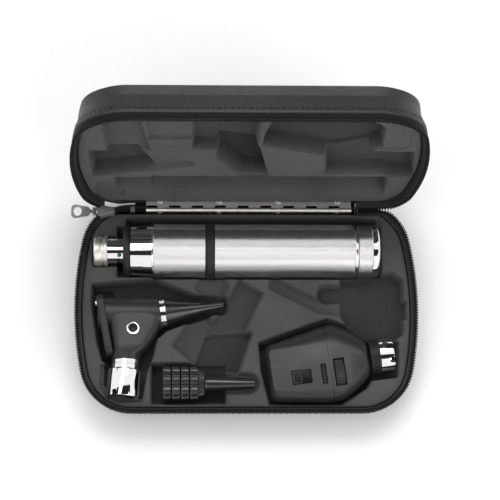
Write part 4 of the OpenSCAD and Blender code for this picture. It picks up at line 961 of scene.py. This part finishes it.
def add_handle():
    at, ahead = np.array([0.0, HANDLE_Y, HANDLE_Z]), (1, 0, 0)
    fine = dict(cells=(112, 0.84), segments=144)
    lathe("tube_knurled", [(-17.7, 13.4), (-17.7, 14.75), (-17.45, 15.0), (59.65, 15.0),
          (59.9, 14.75), (59.9, 13.4)], at, ahead, "handle", "knurled", "battery_tube", closed=True,
          **fine)
    lathe("sleeve_knurled", [(-51.5, 14.0), (-51.5, 14.75), (-51.25, 15.0), (-22.9, 15.0),
          (-22.65, 14.75), (-22.65, 14.0)], at, ahead, "grip", "knurled", "front_sleeve",
          closed=True, **fine)
    lathe("sleeve_plain", [(-64.3, 6.15), (-64.3, 13.3), (-63.9, 13.72), (-52.2, 14.28),
          (-51.9, 14.1), (-51.5, 14.1), (-51.5, 13.0), (-62.7, 12.2), (-62.7, 6.15)], at, ahead,
          "grip", "chrome", "plain_sleeve", segments=144, closed=True)
    lathe("band_black", [(-22.5, 13.8), (-22.5, 14.65), (-22.3, 14.75), (-22.0, 14.75),
          (-21.8, 15.3), (-21.5, 15.58), (-18.7, 15.58), (-18.4, 15.3), (-18.2, 14.75),
          (-17.9, 14.75), (-17.7, 14.65), (-17.7, 13.8)], at, ahead, "handle", "black",
          "black_band", segments=144, closed=True)
    lathe("bead_ring", [(59.9, 13.4), (59.9, 14.3), (60.1, 14.4), (60.5, 14.15), (61.1, 14.15),
          (61.4, 14.55), (61.7, 14.4), (61.7, 13.4)], at, ahead, "handle", "chrome", "tube_bead",
          segments=144, closed=True)
    lathe("cap_knurled", [(61.85, 13.0), (61.85, 14.7), (62.1, 14.95), (69.3, 14.95), (69.6, 14.7),
          (69.6, 13.0)], at, ahead, "cap", "knurled", "end_cap", closed=True, **fine)
    t = np.linspace(0, math.pi / 2, 12)
    dome = [(69.6, 0.0), (69.6, 14.2), (69.75, 14.5), (71.6, 14.5)]
    dome += [(71.6 + 2.1 * math.sin(a), 12.2 + 2.3 * math.cos(a)) for a in t[1:]]
    dome += [(73.72, 8.0), (73.5, 7.8), (73.5, 0.0)]
    lathe("cap_chrome", dome, at, ahead, "cap", "chrome", "cap_dome", segments=144)
    lathe("collar_black", [(-68.0, 6.1), (-68.0, 12.6), (-67.8, 12.9), (-66.7, 14.1),
          (-66.4, 14.35), (-64.7, 14.35), (-64.45, 14.1), (-64.45, 6.1)], at, ahead, "handle",
          "black", "handle_collar", segments=144, closed=True)
    lathe("neck_chrome", [(-76.9, 4.6), (-76.9, 7.0), (-76.7, 7.2), (-71.0, 7.2), (-70.8, 7.0),
          (-70.4, 7.0), (-70.2, 7.2), (-68.2, 7.2), (-68.0, 7.0), (-68.0, 4.6)], at, ahead,
          "handle", "chrome", "handle_core", segments=128, closed=True)
    lathe("bayonet_nickel", [(0.0, 7.7), (0.15, 8.0), (0.4, 8.2), (0.55, 8.45), (3.5, 8.55),
          (3.8, 8.4), (4.0, 8.02), (5.5, 8.02), (5.7, 8.3), (5.9, 8.52), (7.2, 8.55), (7.4, 8.4),
          (7.4, 4.6), (5.5, 4.6), (5.4, 6.6), (0.1, 6.6)], at + [-84.3, 0, 0], ahead, "handle",
          "nickel", "bayonet_ring", segments=120, closed=True)
    a = math.radians(33)
    out = np.array([0, -math.sin(a), math.cos(a)])
    lathe("button_green", [(7.0, 0), (7.0, 2.0), (8.7, 2.0), (9.1, 1.82), (9.3, 1.3), (9.36, 0.6),
          (9.36, 0)], at + [-70.2, 0, 0], out, "lock", "green", "lock_button", segments=48)


# Otoscope head

THIRDS = [math.radians(30 + 120 * k) for k in range(3)]


def superellipse(half, height, power, n):
    """x = w sgn(cos a) |cos a|^(2/n), z = h sgn(sin a) |sin a|^(2/n)."""
    a = np.linspace(0, 2 * math.pi, n, endpoint=False)
    c, s = np.cos(a), np.sin(a)
    p = 2.0 / power[:, None]
    return (half[:, None] * np.sign(c) * np.abs(c) ** p,
            height[:, None] * np.sign(s) * np.abs(s) ** p)


def oto_body_surface():
    """Lower body: superellipse sections stacked from the barrel down to the neck, with their
    left edge along the lens frame and their right edge through the plan's points."""
    y = np.concatenate([np.linspace(15.5, -9.5, 60), np.linspace(-10, -12.4, 8)])
    left = -12.45 + (23.6 - y) * 0.1835
    ky = [-13.2, -9.9, -3.7, -0.3, 3.3, 7.0, 11.0, 15.5]
    kx = [6.9, 8.9, 12.7, 15.0, 17.1, 18.6, 19.0, 19.0]
    right = np.interp(y, ky, kx)
    k = np.exp(-0.5 * (np.arange(-6, 7) / 3.0) ** 2)
    right = np.convolve(np.pad(right, 6, mode="edge"), k / k.sum(), "valid")
    blend = np.clip((-y - 5) / 7.2, 0, 1)
    blend = blend * blend * (3 - 2 * blend)
    left = left * (1 - blend) + (-8.1) * blend
    right = right * (1 - blend) + 7.5 * blend
    centre, half = (left + right) / 2, (right - left) / 2
    power = 5.5 * (1 - blend) + 2.1 * blend
    height = 9.0 * (1 - blend) + 7.8 * blend
    x, z = superellipse(half, height, power, 120)
    points = np.stack([centre[:, None] + x, np.broadcast_to(y[:, None], x.shape), z], 2)
    return grid(points + OTO, None, wrap_cols=True, end_caps=(0, -1))


def add_otoscope():
    c8, s8 = math.cos(math.radians(8)), math.sin(math.radians(8))
    view = np.array([c8, s8, 0])
    tip = OTO + [19.9, 14.7, 0]
    t = np.linspace(0, math.pi / 2, 7)
    end = [(-14.6 - 0.9 * math.cos(a), 8.2 + 0.92 * math.sin(a)) for a in t]
    barrel = [(-15.5, 0.0)] + end + [(17.9, 9.12), (18.2, 9.0), (18.3, 8.7), (18.3, 0)]
    points, faces, uv, caps = turned(barrel, OTO + [0, 14.3, 0], (1, 0, 0), segments=128)
    rel = points - OTO
    push = np.clip((rel[:, 0] - 6) / 12, 0, 1)
    points = points.copy()
    points[:, 0] -= (rel[:, 1] - 14.7) * math.tan(math.radians(8)) * push
    put("oto_housing", [oto_body_surface(), (points, faces, uv, caps)], "otoscope",
        "blacksoft", instead=["oto_body"])
    lathe("oto_ring", [(-1.5, 5.2), (-1.5, 8.0), (-1.3, 8.2), (-0.4, 8.2), (-0.2, 7.9), (0.2, 7.9),
          (0.4, 8.2), (1.3, 8.2), (1.5, 8.0), (1.5, 5.2)], tip, view, "otoscope", "chrome",
          "oto_tip_ring", segments=120, closed=True)
    u = np.linspace(0, 1, 26)
    r = 1.75 + (7.8 - 1.75) * (1 - u) ** 1.5
    outer = np.stack([1.6 + 32 * u, r], 1)
    rim = [(33.75, 1.5), (33.6, 1.15)]
    inner = np.stack([1.6 + 32 * u, r - 0.7], 1)[::-1]
    lathe("oto_cone", np.concatenate([[(1.6, 7.1), (1.6, 7.6)], outer, rim, inner[1:-1]]), tip,
          view, "otoscope", "specula", "oto_speculum", segments=96, closed=True)
    port = OTO + [3.9, 4.0, 0]
    lathe("port_ring", [(8.7, 2.2), (8.7, 3.8), (9.6, 3.8), (10.2, 3.55), (10.5, 3.1), (10.45, 2.7),
          (9.9, 2.3), (9.1, 2.2)], port, (0, 0, 1), "otoscope", "chrome", "oto_port", segments=72,
          closed=True)
    # Painted shade: a near-black disc closing the port ring's opening, where the hole's shade
    # falls.
    put("port_shadow_disc", [turned([(8.9, 0), (9.06, 0.6), (9.06, 2.3), (8.9, 2.3)], port,
                              (0, 0, 1), segments=48)], "otoscope", "window")
    down = np.array([-math.sin(math.radians(3.8)), -math.cos(math.radians(3.8)), 0])
    top = OTO + [0.5, 0, 0] + down * 12
    lathe("oto_collar", [(-1.5, 2.6), (-1.5, 7.5), (-1.2, 7.7), (2.2, 7.7), (2.4, 7.45),
          (2.9, 7.45), (3.1, 7.7), (5.2, 7.7), (5.6, 7.3), (5.6, 2.6)], top, down, "otoscope",
          "chrome", "oto_neck", segments=120, closed=True)
    lathe("oto_sleeve", [(5.6, 2.6), (5.6, 8.6), (5.9, 9.0), (6.3, 9.1), (20.3, 9.1), (20.6, 8.95),
          (20.8, 8.6), (20.8, 6.6), (20.5, 6.3), (8.1, 6.3), (8.1, 2.6)], top, down, "otoscope",
          "chrome", "oto_socket", segments=144, closed=True, notch=(THIRDS, 0.16, 3.2))

    c, s = math.cos(math.radians(10.4)), math.sin(math.radians(10.4))
    ex, ey, ez = np.array([0, 0, -1.0]), np.array([-s, c, 0]), np.array([c, s, 0])
    lens_at = OTO + [-17, 23.6, 0]

    def on_lens(p):
        return lens_at + p[:, :1] * ex + p[:, 1:2] * ey + p[:, 2:3] * ez
    plan = smooth_loop(rect(-9.5, -34.6, 9.5, 0), 5.5, 144)
    a = np.arctan2(plan[:, 1] + 14.6, plan[:, 0])
    hole = np.stack([6.7 * np.cos(a), -14.6 + 6.7 * np.sin(a)], 1)
    put("lens_frame", [slab(plan, 0, 4.2, 0.9, on_lens, hole)], "lens", "black",
        instead=["oto_lens_frame"])
    t = np.linspace(0, 1, 10)
    front = np.stack([0.8 - 0.5 * (1 - t ** 2), 6.6 * t], 1)
    back = np.stack([3.2 + 0.5 * (1 - t ** 2), 6.6 * t], 1)[::-1]
    lathe("lens_glass", np.concatenate([front, back]), lens_at - 14.6 * ey, ez, "lens", "glass",
          "oto_lens", segments=72)


# Nested specula

def add_specula():
    for k in (1, 2, 3, 4):
        x0 = -21.6 + (k - 4) * 4.9

        def cone(t):
            return 4.3 - (4 - k) * 0.6 - 1.6 * t / 26.0
        outer = [(-9.4, 9.6), (-9.2, 9.75), (-8.7, 9.75), (-8.4, 9.55), (-5.3, 9.3),
                 (-5.0, 9.0), (-4.9, 8.2), (-1.9, 6.5), (-1.5, 6.1), (-1.5, cone(0) + 0.6),
                 (-1.1, cone(0) + 0.15), (0, cone(0)), (13, cone(13)), (25.6, cone(25.6)),
                 (26.0, cone(26) - 0.2)]
        inner = [(26.0, cone(26) - 0.45), (0, cone(0) - 0.45), (-2, cone(0) - 0.25),
                 (-2.1, 5.7), (-5.3, 7.5), (-9.4, 8.8)]
        profile = np.concatenate([eased(outer, 0.25, 2), inner])
        lathe("speculum_%d" % k, profile, (x0, -42.9, 18.5), (1, 0, 0), "specula", "specula",
              "spare_speculum_%d" % k, segments=168, closed=True, ripple=(28, 0.55, 6.0))


# Ophthalmoscope head

WIDE = [[-56.1, 12.9], [-18.8, 21.6], [-6.9, 15.5], [0.3, 8.2], [0.3, -9.4], [-6.7, -15.5],
        [-15.9, -21.5], [-23.7, -22.4], [-56.1, -17.8]]
FLAT = [[-54.7, 9], [-18.8, 7.8], [-12.8, 4.4], [-3.5, 0.5], [-3.5, -4.5], [-8.4, -11],
        [-16.2, -16.6], [-23.6, -17.6], [-54.7, -13.8]]
SCOPE_TILT = 7.5
on_scope = turned_frame(SCOPE, SCOPE_TILT)


def ring_of(points, r, steps=7, run=6):
    """Polygon with quadratic corners of reach r and run even points on each side, so that two
    polygons with as many corners give matching rings."""
    p = np.array(points, float)
    lo, hi = np.roll(p, 1, 0), np.roll(p, -1, 0)
    back, ahead = lo - p, hi - p
    lb = np.linalg.norm(back, axis=1)[:, None]
    la = np.linalg.norm(ahead, axis=1)[:, None]
    a = p + back / lb * np.minimum(r, 0.42 * lb)
    b = p + ahead / la * np.minimum(r, 0.42 * la)
    t = np.linspace(0, 1, steps + 1)[None, :, None]
    curve = (1 - t) ** 2 * a[:, None] + 2 * t * (1 - t) * p[:, None] + t ** 2 * b[:, None]
    u = np.linspace(0, 1, run + 2)[None, 1:-1, None]
    side = (1 - u) * b[:, None] + u * np.roll(a, -1, 0)[:, None]
    return np.concatenate([curve, side], 1).reshape(-1, 2)


def scope_surface(shrink=0.0):
    """Housing: plan rings between the flat faces (w = 0) and the widest line (w = 1), stacked
    along an eased curve through the levels (w, z)."""
    levels = [(0, 11), (0.35, 9.9), (0.75, 7.04), (1, 2.2), (0.9, -2.2), (0.5, -6.05), (0, -11)]
    curve = np.array([(w * 8.0, z) for w, z in levels])
    curve = eased(curve, 2.6, 6)
    curve[0], curve[-1] = (0, 11), (0, -11)
    wide, flat = ring_of(WIDE, 4.0), ring_of(FLAT, 3.2)
    w = curve[:, 0][:, None, None] / 8.0
    xy = flat[None] + w * (wide - flat)[None]
    z = np.broadcast_to(curve[:, 1][:, None], xy.shape[:2])
    pts = np.concatenate([xy, z[..., None]], -1)
    if shrink:
        middle = np.array([-26.0, -1.5, 0.0])
        pts = middle + (pts - middle) * (1 - shrink)
    return grid(on_scope(pts.reshape(-1, 3)).reshape(pts.shape), None, wrap_cols=True,
                end_caps=(0, -1))


def cutter(x0, x1, y0, y1, z0, z1, lip=0.18):
    """A box to cut a slot, with a chamfer of lip round its mouth at z = 11."""
    rows = [(0, z0), (0, 11 - lip), (lip, 11.0), (lip, z1)]
    pts = np.array([[[x0 - i, y0 - i, z], [x1 + i, y0 - i, z], [x1 + i, y1 + i, z],
                     [x0 - i, y1 + i, z]] for i, z in rows])
    return grid(on_scope(pts.reshape(-1, 3)).reshape(pts.shape), None, wrap_cols=True,
                end_caps=(0, -1))


def cut_out(piece, surfaces):
    """Take these closed surfaces out of a piece, and keep the result as its mesh."""
    for k, surface in enumerate(surfaces):
        tool = put("cutter_%d" % k, [surface], "base", "black")
        cut = piece.modifiers.new("cut", "BOOLEAN")
        cut.operation, cut.object, cut.solver = "DIFFERENCE", tool, "EXACT"
        bpy.context.view_layer.update()
        graph = bpy.context.evaluated_depsgraph_get()
        made = bpy.data.meshes.new_from_object(piece.evaluated_get(graph))
        piece.modifiers.remove(cut)
        piece.data = made
        bpy.data.objects.remove(tool)


def keep_side(piece, x, side):
    """Cut the piece with the plane x' = x of the instrument's frame and close the cut."""
    c, s = math.cos(math.radians(SCOPE_TILT)), math.sin(math.radians(SCOPE_TILT))
    at = on_scope(np.array([[x, 0, 0]]))[0] * 0.001
    work = bmesh.new()
    work.from_mesh(piece.data)
    bmesh.ops.remove_doubles(work, verts=work.verts, dist=1e-6)
    cut = bmesh.ops.bisect_plane(work, geom=work.verts[:] + work.edges[:] + work.faces[:],
                                 plane_co=at, plane_no=(c, s, 0), clear_outer=side < 0,
                                 clear_inner=side > 0)
    edges = [e for e in cut["geom_cut"] if isinstance(e, bmesh.types.BMEdge)]
    bmesh.ops.holes_fill(work, edges=edges)
    bmesh.ops.recalc_face_normals(work, faces=work.faces)
    work.to_mesh(piece.data)
    work.free()
    piece.data.polygons.foreach_set("use_smooth", np.ones(len(piece.data.polygons), bool))
    piece.data.set_sharp_from_angle(angle=math.radians(32))


def add_ophthalmoscope():
    dial_x, wheel_x, hub_y = -26.5, -17.9, -7.8
    dial_slot = cutter(dial_x - 1.35, dial_x + 1.35, hub_y - 5.45, hub_y + 5.45, 4.0, 14)
    window = cutter(-44.2, -33.4, -11.8, -4.2, 9.4, 14)
    wheel_slot = cutter(wheel_x - 2.95, wheel_x + 2.95, hub_y - 7.5, hub_y + 7.5, 2.0, 14)
    front = put("scope_face", [scope_surface()], "ophthalmoscope", "blacksoft",
                instead=["scope_front"])
    cut_out(front, [dial_slot, window])
    keep_side(front, -22.9, -1)
    rear = put("scope_back", [scope_surface()], "ophthalmoscope", "blacksoft",
               instead=["scope_rear"])
    cut_out(rear, [wheel_slot])
    keep_side(rear, -22.6, 1)
    core = put("scope_seam", [scope_surface(0.03)], "ophthalmoscope", "black")
    keep_side(core, -21.9, -1)
    keep_side(core, -23.6, 1)

    axis = on_scope(np.array([[1.0, 0, 0]]))[0] - SCOPE
    hub = on_scope(np.array([[0.0, hub_y, 1.6]]))[0]
    w = 2.6
    lathe("wheel_ribbed", [(wheel_x - w, 1.3), (wheel_x - w, 10.0), (wheel_x - w + 0.4, 10.5),
          (wheel_x - w + 0.9, 10.6), (wheel_x + w - 0.9, 10.6), (wheel_x + w - 0.4, 10.5),
          (wheel_x + w, 10.0), (wheel_x + w, 1.3)], hub, axis, "wheel", "black", "lens_wheel",
          segments=288, closed=True, ripple=(48, 0.3, 9.0))
    lathe("dial_ribbed", [(-27.6, 1.3), (-27.6, 9.7), (-27.3, 10.0), (-25.7, 10.0), (-25.4, 9.7),
          (-25.4, 1.3)], hub, axis, "dial", "black", "aperture_dial", segments=288, closed=True,
          ripple=(72, 0.35, 9.0))
    pane = slab(smooth_loop(rect(-44.15, -11.75, -33.45, -4.25), 0.3, 40), 9.45, 10.4, 0.12,
                on_scope)
    put("window_pane", [pane], "ophthalmoscope", "window", instead=["scope_window"])
    frame_loop = smooth_loop(rect(-43.6, -11.2, -38.9, -4.8), 0.6, 48)
    inner_loop = smooth_loop(rect(-43.0, -10.6, -39.5, -5.4), 0.4, 48)
    put("window_mask", [slab(frame_loop, 10.3, 10.6, 0.06, on_scope, inner_loop)],
        "ophthalmoscope", "black")
    ribs = [(0.2, 2.5), (0.2, 8.9)]
    for k in range(5):
        x = 0.7 + k * 0.98
        ribs += [(x, 9.5), (x + 0.5, 9.5), (x + 0.66, 9.1), (x + 0.82, 9.1)]
    ribs += [(5.6, 9.1), (5.6, 2.5)]
    lathe("scope_ribbed_neck", ribs, SCOPE, axis, "ophthalmoscope", "black", "scope_neck",
          segments=120, closed=True)
    lathe("scope_sleeve", [(5.6, 2.6), (5.6, 8.7), (5.9, 9.0), (6.6, 9.1), (12.9, 9.1),
          (13.3, 8.95), (13.5, 8.6), (13.5, 6.6), (13.2, 6.3), (6.8, 6.3), (6.8, 2.6)], SCOPE, axis,
          "ophthalmoscope", "chrome", "scope_socket", segments=144, closed=True,
          notch=(THIRDS, 0.16, 3.0))


# Carried-over nodes keep their shape and take their finish from the record's slots

def dress_nodes():
    finish = {row["node"]: row["material_slot"] for row in frame["record"]["subparts"]}
    for name, piece in frame["nodes"].items():
        if not piece.material_slots:
            piece.data.materials.append(FINISH[finish[name]])
        for place_in in piece.material_slots:
            place_in.material = FINISH[finish[name]]


# Floor, light and background

def stage_sheet(name, points, turn, cloth, specular, dark, light):
    """One sheet of the studio in an even two-tone finish; turn -1 faces it the other way."""
    points, faces, _, _ = grid(points)
    mesh = bpy.data.meshes.new(name)
    mesh.from_pydata((points * 0.001).tolist(), [], faces[:, ::turn].tolist())
    mat, tree, shader = finish_of(cloth, Roughness=0.9, Specular_IOR_Level=specular)
    out = use(tree, "flock", Vector=place(tree), Scale=300.0)
    two_tone(tree, shader, out["Shade"], (dark,) * 3, (light,) * 3)
    mesh.materials.append(mat)
    sheet = bpy.data.objects.new(name, mesh)
    bpy.context.collection.objects.link(sheet)
    return sheet


def add_floor():
    x = np.linspace(-3000, 3000, 25)
    xx, yy = np.meshgrid(x, x, indexing="ij")
    floor = stage_sheet("floor", np.stack([xx, yy, np.full(xx.shape, -0.15)], 2), -1,
                        "floor_paper", 0.1, 0.945, 0.965)


def add_card(name, start, end):
    """Dark studio card over the object, an arc of 1.8 m about the x axis from one lean off the
    vertical to the other; only mirrored in the metal."""
    lean, x = np.meshgrid(np.radians(np.linspace(start, end, 13)), np.linspace(-2000, 2000, 21),
                          indexing="ij")
    points = np.stack([x, -1800 * np.sin(lean), 1800 * np.cos(lean)], 2)
    card = stage_sheet(name, points, 1, name + "_cloth", 0.0, 0.015, 0.03)
    card.visible_camera = card.visible_diffuse = card.visible_shadow = False
    card.visible_transmission = False


def add_lamp(name, at, aim, size, power):
    data = bpy.data.lights.new(name, "AREA")
    data.shape, data.size, data.size_y, data.energy = "RECTANGLE", size[0], size[1], power
    lamp = bpy.data.objects.new(name, data)
    back = np.array(at, float) - np.array(aim, float)
    back /= np.linalg.norm(back)
    right = np.cross([0, 0, 1.0], back)
    right /= np.linalg.norm(right)
    lamp.matrix_world = axes_matrix(right, np.cross(back, right), back, at)
    bpy.context.collection.objects.link(lamp)


def add_light():
    scene = bpy.context.scene
    scene.view_settings.view_transform = "Standard"
    world = bpy.data.worlds.new("studio")
    world.use_nodes = True
    scene.world = world
    tree = world.node_tree
    tree.nodes.clear()
    path = tree.nodes.new("ShaderNodeLightPath").outputs
    seen = maths(tree, "MAXIMUM", path["Is Camera Ray"],
                 maths(tree, "MAXIMUM", path["Is Glossy Ray"], path["Is Transmission Ray"]))
    soft = node(tree, "ShaderNodeBackground", Color=(1, 1, 1, 1), Strength=0.6)
    white = node(tree, "ShaderNodeBackground", Color=(1, 1, 1, 1), Strength=1.0)
    mixed = node(tree, "ShaderNodeMixShader", i0=seen, i1=soft.outputs[0], i2=white.outputs[0])
    out = tree.nodes.new("ShaderNodeOutputWorld")
    tree.links.new(mixed.outputs[0], out.inputs["Surface"])
    add_card("front_card", 4.0, 33.0)
    add_card("rear_card", -80.0, -36.0)
    add_lamp("key", (-0.3, 0.13, 1.35), (-0.1, 0.02, 0.03), (2.2, 0.5), 6.5)
    add_lamp("fill", (0.8, -0.9, 0.9), (0, 0, 0.03), (1.0, 0.8), 5.0)
    add_lamp("top", (0.1, 0.6, 1.2), (0, 0, 0.03), (1.0, 0.5), 5.0)


add_camera()
add_light()
add_floor()
dress_nodes()
add_case()
add_zip()
add_notch_shadow_plates()
add_spine()
add_handle()
add_otoscope()
add_specula()
add_ophthalmoscope()
